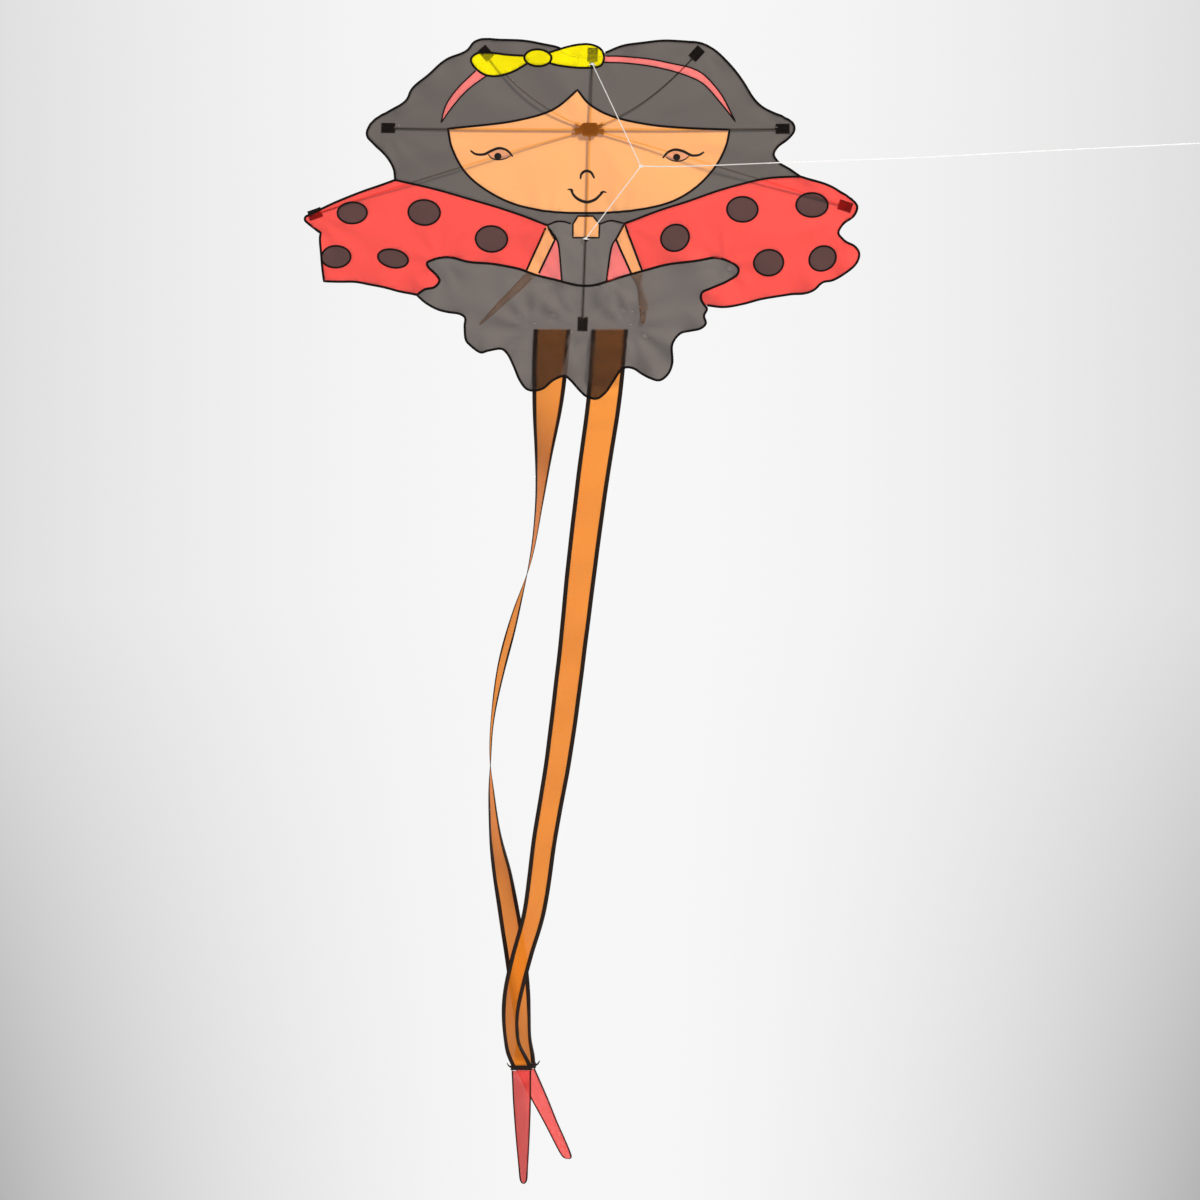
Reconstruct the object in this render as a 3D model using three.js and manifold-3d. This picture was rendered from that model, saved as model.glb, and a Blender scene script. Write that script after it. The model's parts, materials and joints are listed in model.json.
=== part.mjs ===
// A single-line figure kite: a girl in a spotted costume, cut from cloth panels that are
// sewn edge to edge, spread by a spine and six rods that meet in a centre hub, towed by a
// two-legged bridle, with two long ribbon legs that hang behind the skirt.
//
// Millimetres, +Z up. The face looks towards -Y and the wind blows towards +Y. The origin is
// the middle of the hub's flat back face. The sail is drawn flat in X and Z, then bent: every
// piece of it lies in one thin layer whose depth is sailY(x).
import * as THREE from 'three';
import { mergeVertices } from 'three/addons/utils/BufferGeometryUtils.js';
import Module from 'manifold-3d';

const wasm = await Module();
wasm.setup();

// ---------------------------------------------------------------- driving dimensions
const SAIL_SPAN = 1115; // wing tip to wing tip
const SAIL_HEIGHT = 718; // top of the hair to the lowest scallop of the skirt
const SWEEP = 45; // how far the wing tips lie behind the face
const CLOTH = 0.8; // thickness of every sewn cloth piece
const GAP = 0.3; // between pieces that are sewn or pushed together

const SPINE_DIAMETER = 4;
const CROSS_ROD_DIAMETER = 4;
const DIAGONAL_ROD_DIAMETER = 3;
const ROD_CLEARANCE = 0.3; // round a rod in its socket or pocket

const HUB_WIDTH = 32;
const HUB_HEIGHT = 26;
const HUB_DEPTH = 14;
const HUB_CORNER = 5;
const SOCKET_REACH = 30; // from the hub's centre to a socket's mouth
const SOCKET_FLOOR = 18; // from the hub's centre to the bottom of a socket
const SOCKET_WALL = 1.8;
const UPPER_SOCKET_ANGLE = 23; // degrees above the cross rods
const WING_SOCKET_ANGLE = -15; // degrees below them

const POCKET_WALL = 1.2;
const POCKET_WIDTH = 20;
const POCKET_LENGTH = 28;
const POCKET_END = 4; // cloth beyond the rod's tip

const BRIDLE_TOP_Z = 128;
const BRIDLE_LOW_Z = -220;
const BRIDLE_CORD = 2;
const ANCHOR_RING = 8; // radius of the cord loop round the spine
const ANCHOR_FORWARD = 3; // how far that loop's centre lies in front of the spine
const BRIDLE_STANDOFF = 11.3; // from the cloth to the line that the bridle swings about
const TOW_POINT = [101, -54, -80];
const TOW_KNOT = 4; // radius
const LINE_CORD = 2;
const LINE_ROUTE = [[161, -61, -82], [376, -88, -78], [640, -122, -73], [900, -154, -64],
  [1190, -190, -55]];
const LINE_LOOP = 14; // radius of the tied loop at the far end of the line
const LOOP_LONGER = 1.6; // the loop's shape, along the line
const LOOP_NARROWER = 0.7; // and across it

const LEG_LENGTH = 1470; // skirt seam to ankle
const LEG_WIDTH = 73; // at the seam
const LEG_CLOTH = 1.2; // doubled, with bound edges
const HIP_REACH = 115; // the outer edge of the left leg where it is sewn on
const ANKLE_WIDTH = 40;
const CUFF_HEIGHT = 9;
const CUFF_THICKNESS = 2.4;
const CUFF_FLARE = 12;
const ANKLE_GAP = 1.6; // room for the boot to fold under its cuff
const BOOT_LENGTH = 225;
const BOOT_WIDTH = 38;
const BOOT_THICKNESS = 3;
const ARM_DROP = 100; // how far the loose forearms hang behind the skirt
const ARM_WIDTH = 24;

// ---------------------------------------------------------------- drawing grid
// The outlines are drawn for a sail of PATTERN_SPAN by PATTERN_HEIGHT about the hub.
const PATTERN_SPAN = 1115;
const PATTERN_HEIGHT = 718;
const ACROSS = SAIL_SPAN / PATTERN_SPAN;
const UP = SAIL_HEIGHT / PATTERN_HEIGHT;
const OUTLINE_STEP = 14; // distance between points along a curved edge
const SAIL_STRIPS = 24; // flat strips that make the swept sail
const PRISM = 400; // depth of the cutters, well past the sail
const SPINE_LEAN = 0.037; // sideways travel of the spine for each millimetre of height
const CORD_SIDES = 8;
const RING_STEPS = 14;
const ROD_SIDES = 8;
const ROD_STEPS = 10;
const BRIDLE_STEPS = 8;
const KNOT_SIDES = 8;
const KNOT_RINGS = 6;
const LINE_STEPS = 36;
const LEG_STEPS = 56;
const BOOT_STEPS = 12;
const ARM_STEPS = 10;
const CUFF_STEPS = 2;
const SPINE_SAMPLES = 200;
const CORNER_STEPS = 3;
const WELD = 1e-4;
const BACK_FACE = 3; // which of a box's six faces
const SHARPEST_MITRE = 0.5; // keeps a moved corner from shooting out
const ROD_REACH = 0.45; // how far along a rod its bend lies

const SAIL_FRONT_OF_HUB = HUB_DEPTH + GAP + CLOTH / 2;
const rodY = -HUB_DEPTH / 2;

// Depth of the middle of the cloth at a distance x from the spine.
function sailY(x) {
  return SWEEP * (x / (SAIL_SPAN / 2)) ** 2 - SAIL_FRONT_OF_HUB;
}

function at([x, z]) {
  return new THREE.Vector2(x * ACROSS, z * UP);
}

// ---------------------------------------------------------------- outline helpers
// Evenly spaced points on a smooth curve through the given ones.
function smooth(points) {
  const curve = new THREE.CatmullRomCurve3(
    points.map(at).map((p) => new THREE.Vector3(p.x, 0, p.y)), false, 'centripetal');
  const count = Math.max(1, Math.round(curve.getLength() / OUTLINE_STEP));
  return curve.getSpacedPoints(count).map((p) => new THREE.Vector2(p.x, p.z));
}

// Joins stretches end to end into one closed outline, with a corner at each join.
function outline(...stretches) {
  const joined = stretches.flat();
  return joined.filter((p, i) => p.distanceTo(joined[(i + 1) % joined.length]) > GAP);
}

function straight(...points) {
  return points.map(at);
}

function oval([x, z], acrossRadius, upRadius, degrees = 0) {
  const centre = at([x, z]);
  const count = Math.round((2 * Math.PI * acrossRadius) / OUTLINE_STEP) + 6;
  const turn = THREE.MathUtils.degToRad(degrees);
  return Array.from({ length: count }, (_, i) => {
    const angle = (2 * Math.PI * i) / count;
    return new THREE.Vector2(acrossRadius * Math.cos(angle), upRadius * Math.sin(angle))
      .rotateAround(new THREE.Vector2(), turn).add(centre);
  });
}

// The outline moved outwards by a distance.
function grown(points, distance) {
  const side = THREE.ShapeUtils.isClockWise(points) ? 1 : -1;
  return points.map((p, i) => {
    const before = points[(i + points.length - 1) % points.length];
    const after = points[(i + 1) % points.length];
    const into = p.clone().sub(before).normalize();
    const away = after.clone().sub(p).normalize();
    const normal = new THREE.Vector2(-into.y - away.y, into.x + away.x).normalize();
    const reach = Math.max(SHARPEST_MITRE, normal.dot(new THREE.Vector2(-into.y, into.x)));
    return p.clone().addScaledVector(normal, (side * distance) / reach);
  });
}

// ---------------------------------------------------------------- solid helpers
function solid(geometry) {
  geometry.deleteAttribute('normal');
  geometry.deleteAttribute('uv');
  const merged = mergeVertices(geometry, WELD);
  return new wasm.Manifold(new wasm.Mesh({
    numProp: 3,
    vertProperties: new Float32Array(merged.attributes.position.array),
    triVerts: new Uint32Array(merged.index.array),
  }));
}

function geometryOf(body) {
  const mesh = body.getMesh();
  const geometry = new THREE.BufferGeometry();
  const corners = new Float32Array(mesh.vertProperties);
  geometry.setAttribute('position', new THREE.BufferAttribute(corners, 3));
  geometry.setIndex(new THREE.BufferAttribute(new Uint32Array(mesh.triVerts), 1));
  geometry.computeVertexNormals();
  return geometry;
}

// A thin layer that follows the swept sail, behind (+) or in front of (-) its middle.
function layer(front, thickness) {
  const geometry = new THREE.BoxGeometry(
    SAIL_SPAN * 1.2, thickness, SAIL_HEIGHT * 2, SAIL_STRIPS, 1, 1);
  const position = geometry.attributes.position;
  for (let i = 0; i < position.count; i += 1) {
    const depth = position.getY(i) + front + thickness / 2 + sailY(position.getX(i));
    position.setY(i, depth);
  }
  return solid(geometry);
}

// A straight cutter through the whole depth of the sail.
function prism(points) {
  const geometry = new THREE.ExtrudeGeometry(
    new THREE.Shape(points), { depth: PRISM, bevelEnabled: false });
  geometry.rotateX(Math.PI / 2);
  geometry.translate(0, PRISM / 2, 0);
  return solid(geometry);
}

const sailLayer = layer(-CLOTH / 2, CLOTH);

// A sewn panel: its outline, cut back by a seam gap where others are sewn over it.
function panel(points, ...over) {
  let body = sailLayer.intersect(prism(points));
  for (const cover of over) {
    body = body.subtract(prism(grown(cover, GAP)));
  }
  return body;
}

// A tube of constant section along a curve.
function tube(curve, radius, steps, sides) {
  const section = Array.from({ length: sides }, (_, i) => {
    const angle = (2 * Math.PI * i) / sides;
    return new THREE.Vector2(radius * Math.cos(angle), radius * Math.sin(angle));
  });
  return new THREE.ExtrudeGeometry(
    new THREE.Shape(section), { steps, extrudePath: curve, bevelEnabled: false });
}

// A ribbon between two edge curves. Each station holds its centre, its width and how far it
// is turned about its own length, in degrees; 0 faces the front.
function ribbon(stations, thickness, steps) {
  const edges = [-1, 1].map((side) => new THREE.CatmullRomCurve3(stations.map((s) => {
    const turn = THREE.MathUtils.degToRad(s.turn ?? 0);
    const half = (side * s.width) / 2;
    return new THREE.Vector3(s.x + half * Math.cos(turn), s.y + half * Math.sin(turn), s.z);
  }), false, 'centripetal'));
  const geometry = new THREE.BoxGeometry(1, 1, 1, 1, 1, steps);
  const position = geometry.attributes.position;
  for (let i = 0; i < position.count; i += 1) {
    const along = 0.5 - position.getZ(i);
    const [left, right] = edges.map((edge) => edge.getPoint(along));
    const climb = edges[0].getTangent(along).add(edges[1].getTangent(along)).negate();
    const across = right.clone().sub(left);
    const normal = climb.cross(across).normalize();
    const point = left.lerp(right, position.getX(i) + 0.5);
    point.addScaledVector(normal, position.getY(i) * thickness);
    position.setXYZ(i, point.x, point.y, point.z);
  }
  // Both faces get the same diagonal in each square, so a twisted ribbon never meets itself.
  const { start, count } = geometry.groups[BACK_FACE];
  for (let i = start; i < start + count; i += 6) {
    const [a, b, d, , c] = geometry.index.array.slice(i, i + 6);
    [a, b, c, a, c, d].forEach((corner, k) => geometry.index.setX(i + k, corner));
  }
  return geometry;
}

const kite = new THREE.Group();
const CLOTH_ROUGHNESS = 0.85;
const ROD_ROUGHNESS = 0.35;
const HUB_ROUGHNESS = 0.5;
const CORD_ROUGHNESS = 0.7;

function add(name, shape, colour, roughness = CLOTH_ROUGHNESS) {
  const geometry = shape instanceof THREE.BufferGeometry ? shape : geometryOf(shape);
  const material = new THREE.MeshStandardMaterial({ color: colour, roughness, metalness: 0 });
  const mesh = new THREE.Mesh(geometry, material);
  mesh.name = name;
  kite.add(mesh);
}

// ---------------------------------------------------------------- sail outlines
// Seams that two panels share are drawn once.
const shoulderLeft = smooth([
  [-86, -191], [-126, -175], [-185, -155], [-244, -137], [-303, -120], [-390, -99]]);
const shoulderRight = smooth([
  [69, -188], [136, -162], [201, -141], [258, -121], [307, -107], [356, -96], [422, -91]]);
const waist = smooth([[-56, -304], [-31, -311], [-14, -313], [7, -312], [33, -304]]);

const hairLeft = smooth([
  [-390, -99], [-393, -77], [-406, -53], [-430, -29], [-447, -9], [-446, 4], [-434, 20],
  [-394, 44], [-367, 63], [-357, 82], [-323, 113], [-284, 143], [-244, 160], [-234, 172],
  [-220, 179], [-185, 180], [-145, 178], [-102, 172], [-66, 165], [-40, 150], [0, 145]]);
const hairRight = smooth([
  [0, 145], [24, 150], [75, 169], [124, 176], [169, 177], [222, 172], [250, 157], [279, 133],
  [307, 96], [332, 59], [348, 44], [389, 27], [407, 14], [409, 0], [397, -16], [375, -33],
  [368, -47], [377, -63], [401, -78], [422, -91]]);
const hair = outline(hairLeft, hairRight, [...shoulderRight].reverse(),
  straight([19, -200], [-34, -200]), shoulderLeft);

const face = outline(
  smooth([[-284, 2], [-148, 17], [-73, 39], [-25, 78]]),
  smooth([[-25, 78], [-3, 51], [30, 31], [62, 20], [124, 8], [185, 3], [279, 0]]),
  smooth([[279, 0], [273, -29], [254, -69], [218, -110], [169, -141], [103, -159], [0, -168],
    [-111, -159], [-179, -137], [-246, -89], [-276, -36], [-284, 2]]));

const bowKnot = oval([-104, 143], 27, 17);
const bowLeft = outline(
  smooth([[-118, 146], [-165, 149], [-201, 153], [-226, 152], [-238, 141], [-232, 127],
    [-213, 111], [-189, 106], [-153, 115], [-118, 136]]));
const bowRight = outline(
  smooth([[-90, 152], [-46, 164], [-3, 169], [22, 159], [28, 143], [22, 127], [1, 122],
    [-60, 127], [-90, 136]]));
const headbandLeft = outline(
  smooth([[-222, 124], [-264, 85], [-288, 50], [-298, 14]]),
  smooth([[-298, 14], [-272, 50], [-244, 81], [-200, 112]]));
const headbandRight = outline(
  smooth([[18, 146], [103, 143], [156, 133], [218, 116], [258, 78], [291, 16]]),
  smooth([[291, 16], [262, 53], [226, 92], [185, 110], [103, 129], [18, 134]]));

const neck = straight([-24, -174], [6, -174], [19, -190], [18, -217], [-34, -217], [-34, -190]);
const bodice = outline(
  smooth([[-86, -191], [-62, -183], [-34, -190]]),
  smooth([[19, -190], [42, -183], [69, -188]]),
  smooth([[69, -188], [52, -219], [44, -233], [33, -304]]),
  [...waist].reverse(),
  smooth([[-56, -304], [-63, -230], [-67, -219], [-86, -191]]));

const armLeft = straight([-86, -191], [-70, -220], [-107, -299], [-134, -299]);
const armRight = straight([69, -188], [52, -220], [87, -299], [110, -299]);
const gussetLeft = straight([-66, -210], [-46, -316], [-120, -306]);
const gussetRight = straight([50, -210], [96, -302], [22, -316]);

const skirt = outline(
  smooth([[-347, -329], [-331, -317], [-311, -313], [-301, -301], [-307, -290], [-323, -274],
    [-327, -265], [-315, -258], [-284, -254], [-244, -263], [-185, -270], [-145, -278],
    [-106, -292], [-56, -304]]),
  waist,
  smooth([[33, -304], [103, -284], [160, -269], [218, -260], [254, -256], [283, -264],
    [297, -276], [295, -288], [275, -302], [242, -316], [224, -325], [222, -339], [228, -350]]),
  smooth([[228, -350], [234, -358], [228, -371], [232, -386], [222, -396], [201, -402],
    [181, -407], [169, -419], [164, -431], [164, -468], [156, -488], [140, -500], [120, -496],
    [103, -488], [87, -478], [71, -475], [60, -482], [44, -507], [30, -527], [13, -538],
    [-7, -533], [-19, -523], [-39, -501], [-50, -493], [-74, -501], [-94, -517], [-112, -522],
    [-126, -519], [-139, -503], [-153, -471], [-165, -448], [-177, -438], [-205, -441],
    [-218, -445], [-240, -430], [-248, -420], [-251, -392], [-250, -375], [-260, -368],
    [-284, -364], [-307, -357], [-331, -343], [-347, -329]]));

const wingLeft = outline(shoulderLeft,
  smooth([[-390, -99], [-462, -123], [-505, -139], [-572, -169]]),
  smooth([[-572, -169], [-574, -175], [-564, -185], [-541, -203]]),
  smooth([[-541, -203], [-543, -214], [-541, -250], [-535, -299]]),
  smooth([[-535, -299], [-501, -300], [-473, -301], [-442, -307], [-410, -313], [-379, -322],
    [-346, -329]]),
  straight([-290, -340], [-115, -330], [-80, -208]));
const wingRight = outline(shoulderRight,
  smooth([[422, -91], [467, -104], [503, -121], [528, -137], [537, -149], [530, -168],
    [507, -186], [499, -202], [511, -217], [532, -229], [541, -243], [536, -262], [511, -284],
    [487, -298], [467, -302], [450, -317], [430, -325], [401, -327], [348, -336], [307, -347],
    [267, -353], [234, -351]]),
  straight([200, -345], [95, -330], [62, -208]));

// Spots: centre, half width, half height, turn in degrees.
const spotsLeft = [
  [[-477, -163], 30, 21, 0], [[-332, -164], 32, 25, -4], [[-197, -218], 32, 26, -6],
  [[-511, -250], 30, 22, 0], [[-395, -255], 31, 18, -12]].map((spot) => oval(...spot));
const spotsRight = [
  [[170, -216], 29, 26, 30], [[305, -158], 31, 25, 0], [[445, -148], 32, 24, 0],
  [[358, -264], 30, 26, 10], [[467, -254], 28, 24, 30]].map((spot) => oval(...spot));

// ---------------------------------------------------------------- spine and rods
const COLOUR = {
  hair: 0x6a635d, skirt: 0x7a736d, face: 0xffae6a, wing: 0xff5a50, band: 0xff7a7a,
  bow: 0xffe600, spot: 0x5a403c, leg: 0xff9233, arm: 0xffb45e, rod: 0x2a2624,
  hub: 0x1e1c1b, pocket: 0x2c2725, cord: 0xf2f2f0, boot: 0xff4f49, cuff: 0x2c2420,
};

// Depth of a rod's axis: it leaves the hub at mid depth, stands off behind the cloth by up to
// bow, and meets its pocket just behind the cloth. share runs from the hub to the tip.
function behindSail(x, share, diameter, bow) {
  const atHub = rodY - sailY(0);
  const atTip = CLOTH / 2 + GAP + pocketDepth(diameter) / 2;
  const swell = bow * Math.sin(Math.PI * share) ** 2;
  return sailY(x) + THREE.MathUtils.lerp(atHub, atTip, share) + swell;
}

function pocketDepth(diameter) {
  return diameter + 2 * (ROD_CLEARANCE + POCKET_WALL);
}

// A rod from its socket, along the socket's line, bending over to its tip. slack is added at
// both ends, so the same call gives the rod and the bore round it.
function rodCurve(rod, slack = 0) {
  const tip = at(rod.tip);
  const angle = THREE.MathUtils.degToRad(rod.angle);
  const out = new THREE.Vector2(Math.sign(tip.x) * Math.cos(angle), Math.sin(angle));
  const mouth = out.clone().multiplyScalar(SOCKET_REACH);
  const span = tip.distanceTo(mouth);
  const bend = mouth.clone().addScaledVector(out, span * ROD_REACH);
  const flat = new THREE.QuadraticBezierCurve(mouth, bend, tip).getPoints(ROD_STEPS);
  const last = flat.at(-1).clone().sub(flat.at(-2)).normalize();
  flat[ROD_STEPS] = tip.clone().addScaledVector(last, slack);
  flat.unshift(out.clone().multiplyScalar(SOCKET_FLOOR - slack));
  const points = flat.map((p, i) => {
    const share = Math.min(1, p.length() / tip.length());
    const y = behindSail(p.x, i === 0 ? 0 : share, rod.diameter, rod.bow);
    return new THREE.Vector3(p.x, y, p.y);
  });
  return { curve: new THREE.CatmullRomCurve3(points, false, 'centripetal'), tip, last };
}

const rods = {
  cross_rod_left: { tip: [-414, 6], angle: 0, diameter: CROSS_ROD_DIAMETER, bow: 1 },
  cross_rod_right: { tip: [396, 4], angle: 0, diameter: CROSS_ROD_DIAMETER, bow: 1 },
  upper_rod_left: { tip: [-214, 160], angle: UPPER_SOCKET_ANGLE,
    diameter: DIAGONAL_ROD_DIAMETER, bow: 8 },
  upper_rod_right: { tip: [220, 159], angle: UPPER_SOCKET_ANGLE,
    diameter: DIAGONAL_ROD_DIAMETER, bow: 8 },
  wing_rod_left: { tip: [-562, -167], angle: WING_SOCKET_ANGLE,
    diameter: DIAGONAL_ROD_DIAMETER, bow: 12 },
  wing_rod_right: { tip: [522, -152], angle: WING_SOCKET_ANGLE,
    diameter: DIAGONAL_ROD_DIAMETER, bow: 12 },
};

const spineTop = at([0, 158]).y;
const spineFoot = at([0, -399]).y;

function spineX(z) {
  return SPINE_LEAN * z;
}

function spineCurve(slack = 0) {
  const tipY = CLOTH / 2 + GAP + pocketDepth(SPINE_DIAMETER) / 2;
  const points = [spineTop + slack, spineTop / 2, HUB_HEIGHT / 2, 0, -HUB_HEIGHT / 2,
    spineFoot / 2, spineFoot - slack].map((z) => {
    const reach = THREE.MathUtils.smoothstep(Math.abs(z), HUB_HEIGHT / 2, spineTop);
    const y = THREE.MathUtils.lerp(rodY, sailY(0) + tipY, reach);
    return new THREE.Vector3(spineX(z), y, z);
  });
  return new THREE.CatmullRomCurve3(points, false, 'centripetal');
}

const spineBore = solid(tube(spineCurve(ROD_CLEARANCE), SPINE_DIAMETER / 2 + ROD_CLEARANCE,
  ROD_STEPS, ROD_SIDES));

// ---------------------------------------------------------------- pockets
// A flat cloth pocket behind the sail, sewn round a rod's tip: a rectangle along the rod,
// following the sail, with the rod's bore cut out of it.
function pocket(tip, direction, diameter, bore) {
  const side = new THREE.Vector2(-direction.y, direction.x).multiplyScalar(POCKET_WIDTH / 2);
  const outer = tip.clone().addScaledVector(direction, POCKET_END);
  const inner = outer.clone().addScaledVector(direction, -POCKET_LENGTH);
  const corners = [outer.clone().add(side), outer.clone().sub(side),
    inner.clone().sub(side), inner.clone().add(side)];
  const depth = layer(CLOTH / 2 + GAP, pocketDepth(diameter));
  return depth.intersect(prism(corners)).subtract(bore);
}

const bores = {};
for (const [name, rod] of Object.entries(rods)) {
  const { curve, tip, last } = rodCurve(rod);
  const bore = solid(tube(rodCurve(rod, ROD_CLEARANCE).curve,
    rod.diameter / 2 + ROD_CLEARANCE, ROD_STEPS, ROD_SIDES));
  bores[name] = bore;
  add(name, tube(curve, rod.diameter / 2, ROD_STEPS, ROD_SIDES), COLOUR.rod, ROD_ROUGHNESS);
  const pocketName = name.replace('rod', 'pocket');
  add(pocketName, pocket(tip, last, rod.diameter, bore), COLOUR.pocket);
}
add('spine_rod', tube(spineCurve(), SPINE_DIAMETER / 2, ROD_STEPS, ROD_SIDES),
  COLOUR.rod, ROD_ROUGHNESS);
const spineEnds = [['spine_pocket_top', spineTop, 1], ['spine_pocket_foot', spineFoot, -1]];
for (const [name, z, up] of spineEnds) {
  const direction = new THREE.Vector2(SPINE_LEAN * up, up).normalize();
  add(name, pocket(new THREE.Vector2(spineX(z), z), direction, SPINE_DIAMETER, spineBore),
    COLOUR.pocket);
}

// ---------------------------------------------------------------- centre hub
// A moulded block with a through bore for the spine and six tubular sockets.
function centreHub() {
  const w = HUB_WIDTH / 2;
  const h = HUB_HEIGHT / 2;
  const block = new THREE.Shape()
    .moveTo(w, -h + HUB_CORNER)
    .lineTo(w, h - HUB_CORNER).absarc(w - HUB_CORNER, h - HUB_CORNER, HUB_CORNER, 0, Math.PI / 2)
    .lineTo(-w + HUB_CORNER, h)
    .absarc(-w + HUB_CORNER, h - HUB_CORNER, HUB_CORNER, Math.PI / 2, Math.PI)
    .lineTo(-w, -h + HUB_CORNER)
    .absarc(-w + HUB_CORNER, -h + HUB_CORNER, HUB_CORNER, Math.PI, 1.5 * Math.PI)
    .lineTo(w - HUB_CORNER, -h)
    .absarc(w - HUB_CORNER, -h + HUB_CORNER, HUB_CORNER, 1.5 * Math.PI, 2 * Math.PI);
  const geometry = new THREE.ExtrudeGeometry(
    block, { depth: HUB_DEPTH, bevelEnabled: false, curveSegments: CORNER_STEPS });
  geometry.rotateX(Math.PI / 2);
  let body = solid(geometry);
  for (const rod of Object.values(rods)) {
    const radius = rod.diameter / 2 + ROD_CLEARANCE + SOCKET_WALL;
    const sleeve = new THREE.CylinderGeometry(radius, radius, SOCKET_REACH, ROD_SIDES);
    sleeve.translate(0, SOCKET_REACH / 2, 0);
    const angle = THREE.MathUtils.degToRad(rod.angle);
    sleeve.rotateZ(Math.sign(rod.tip[0]) * (angle - Math.PI / 2));
    sleeve.rotateX(Math.PI / 2);
    sleeve.translate(0, rodY, 0);
    body = body.add(solid(sleeve));
  }
  for (const bore of Object.values(bores)) {
    body = body.subtract(bore);
  }
  return body.subtract(spineBore);
}

add('centre_hub', centreHub(), COLOUR.hub, HUB_ROUGHNESS);

// ---------------------------------------------------------------- bridle anchors
// A loop of cord round the spine that comes through two small holes in the cloth.
function anchorCentre(z) {
  const nearest = spineCurve().getPoints(SPINE_SAMPLES)
    .reduce((best, p) => (Math.abs(p.z - z) < Math.abs(best.z - z) ? p : best));
  return new THREE.Vector3(spineX(z), nearest.y - ANCHOR_FORWARD, z);
}

function anchorRing(z, cordRadius) {
  const ring = new THREE.TorusGeometry(ANCHOR_RING, cordRadius, CORD_SIDES, RING_STEPS);
  const centre = anchorCentre(z);
  return ring.translate(centre.x, centre.y, centre.z);
}

const anchorTopZ = at([0, BRIDLE_TOP_Z]).y;
const anchorLowZ = at([0, BRIDLE_LOW_Z]).y;
const holeTop = solid(anchorRing(anchorTopZ, BRIDLE_CORD / 2 + GAP));
const holeLow = solid(anchorRing(anchorLowZ, BRIDLE_CORD / 2 + GAP));
add('bridle_anchor_top', anchorRing(anchorTopZ, BRIDLE_CORD / 2), COLOUR.cord, CORD_ROUGHNESS);
add('bridle_anchor_low', anchorRing(anchorLowZ, BRIDLE_CORD / 2), COLOUR.cord, CORD_ROUGHNESS);

// ---------------------------------------------------------------- sail panels
add('hair_panel', panel(hair, face, bowKnot, bowLeft, bowRight, headbandLeft, headbandRight,
  neck, bodice, wingLeft, wingRight), COLOUR.hair);
add('face_panel', panel(face), COLOUR.face);
add('neck_panel', panel(neck, face), COLOUR.face);
add('bodice_panel', panel(bodice, neck, skirt).subtract(holeLow), COLOUR.skirt);
add('skirt_panel', panel(skirt), COLOUR.skirt);
add('headband_left', panel(headbandLeft, bowLeft), COLOUR.band);
add('headband_right', panel(headbandRight, bowRight), COLOUR.band);
add('bow_left_loop', panel(bowLeft, bowKnot), COLOUR.bow);
add('bow_right_loop', panel(bowRight, bowKnot).subtract(holeTop), COLOUR.bow);
add('bow_knot', panel(bowKnot), COLOUR.bow);
add('arm_panel_left', panel(armLeft, bodice, skirt), COLOUR.arm);
add('arm_panel_right', panel(armRight, bodice, skirt), COLOUR.arm);
add('gusset_left', panel(gussetLeft, armLeft, bodice, skirt), COLOUR.wing);
add('gusset_right', panel(gussetRight, armRight, bodice, skirt), COLOUR.wing);
add('wing_left', panel(wingLeft, armLeft, bodice, skirt, ...spotsLeft), COLOUR.wing);
add('wing_right', panel(wingRight, armRight, bodice, skirt, ...spotsRight), COLOUR.wing);
const spotted = [['left', spotsLeft, wingLeft], ['right', spotsRight, wingRight]];
for (const [side, spots, wing] of spotted) {
  spots.forEach((spot, i) => {
    add(`spot_${side}_${i + 1}`, panel(spot).intersect(prism(wing)), COLOUR.spot);
  });
}

// ---------------------------------------------------------------- bridle and line
// The two bridle legs run from just in front of the anchors to the tow knot. The bridle turns
// about the line through those two places, which keeps their ends clear of the cloth.
const towPoint = new THREE.Vector3(...TOW_POINT);

function knot(centre) {
  return new THREE.SphereGeometry(TOW_KNOT, KNOT_SIDES, KNOT_RINGS)
    .translate(centre.x, centre.y, centre.z);
}

for (const [name, z] of [['bridle_upper_leg', anchorTopZ], ['bridle_lower_leg', anchorLowZ]]) {
  const start = new THREE.Vector3(spineX(z), sailY(0) - BRIDLE_STANDOFF, z);
  const along = towPoint.clone().sub(start).normalize();
  const end = towPoint.clone().addScaledVector(along, -TOW_KNOT - GAP);
  const route = new THREE.LineCurve3(start, end);
  add(name, tube(route, BRIDLE_CORD / 2, BRIDLE_STEPS, CORD_SIDES), COLOUR.cord, CORD_ROUGHNESS);
}
add('tow_knot', knot(towPoint), COLOUR.cord, CORD_ROUGHNESS);

const linePoints = LINE_ROUTE.map((p) => new THREE.Vector3(...p));
const lineAway = linePoints[0].clone().sub(towPoint).normalize();
linePoints.unshift(towPoint.clone().addScaledVector(lineAway, TOW_KNOT + GAP));
const line = new THREE.CatmullRomCurve3(linePoints, false, 'centripetal');
add('flying_line', tube(line, LINE_CORD / 2, LINE_STEPS, CORD_SIDES), COLOUR.cord, CORD_ROUGHNESS);

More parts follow.
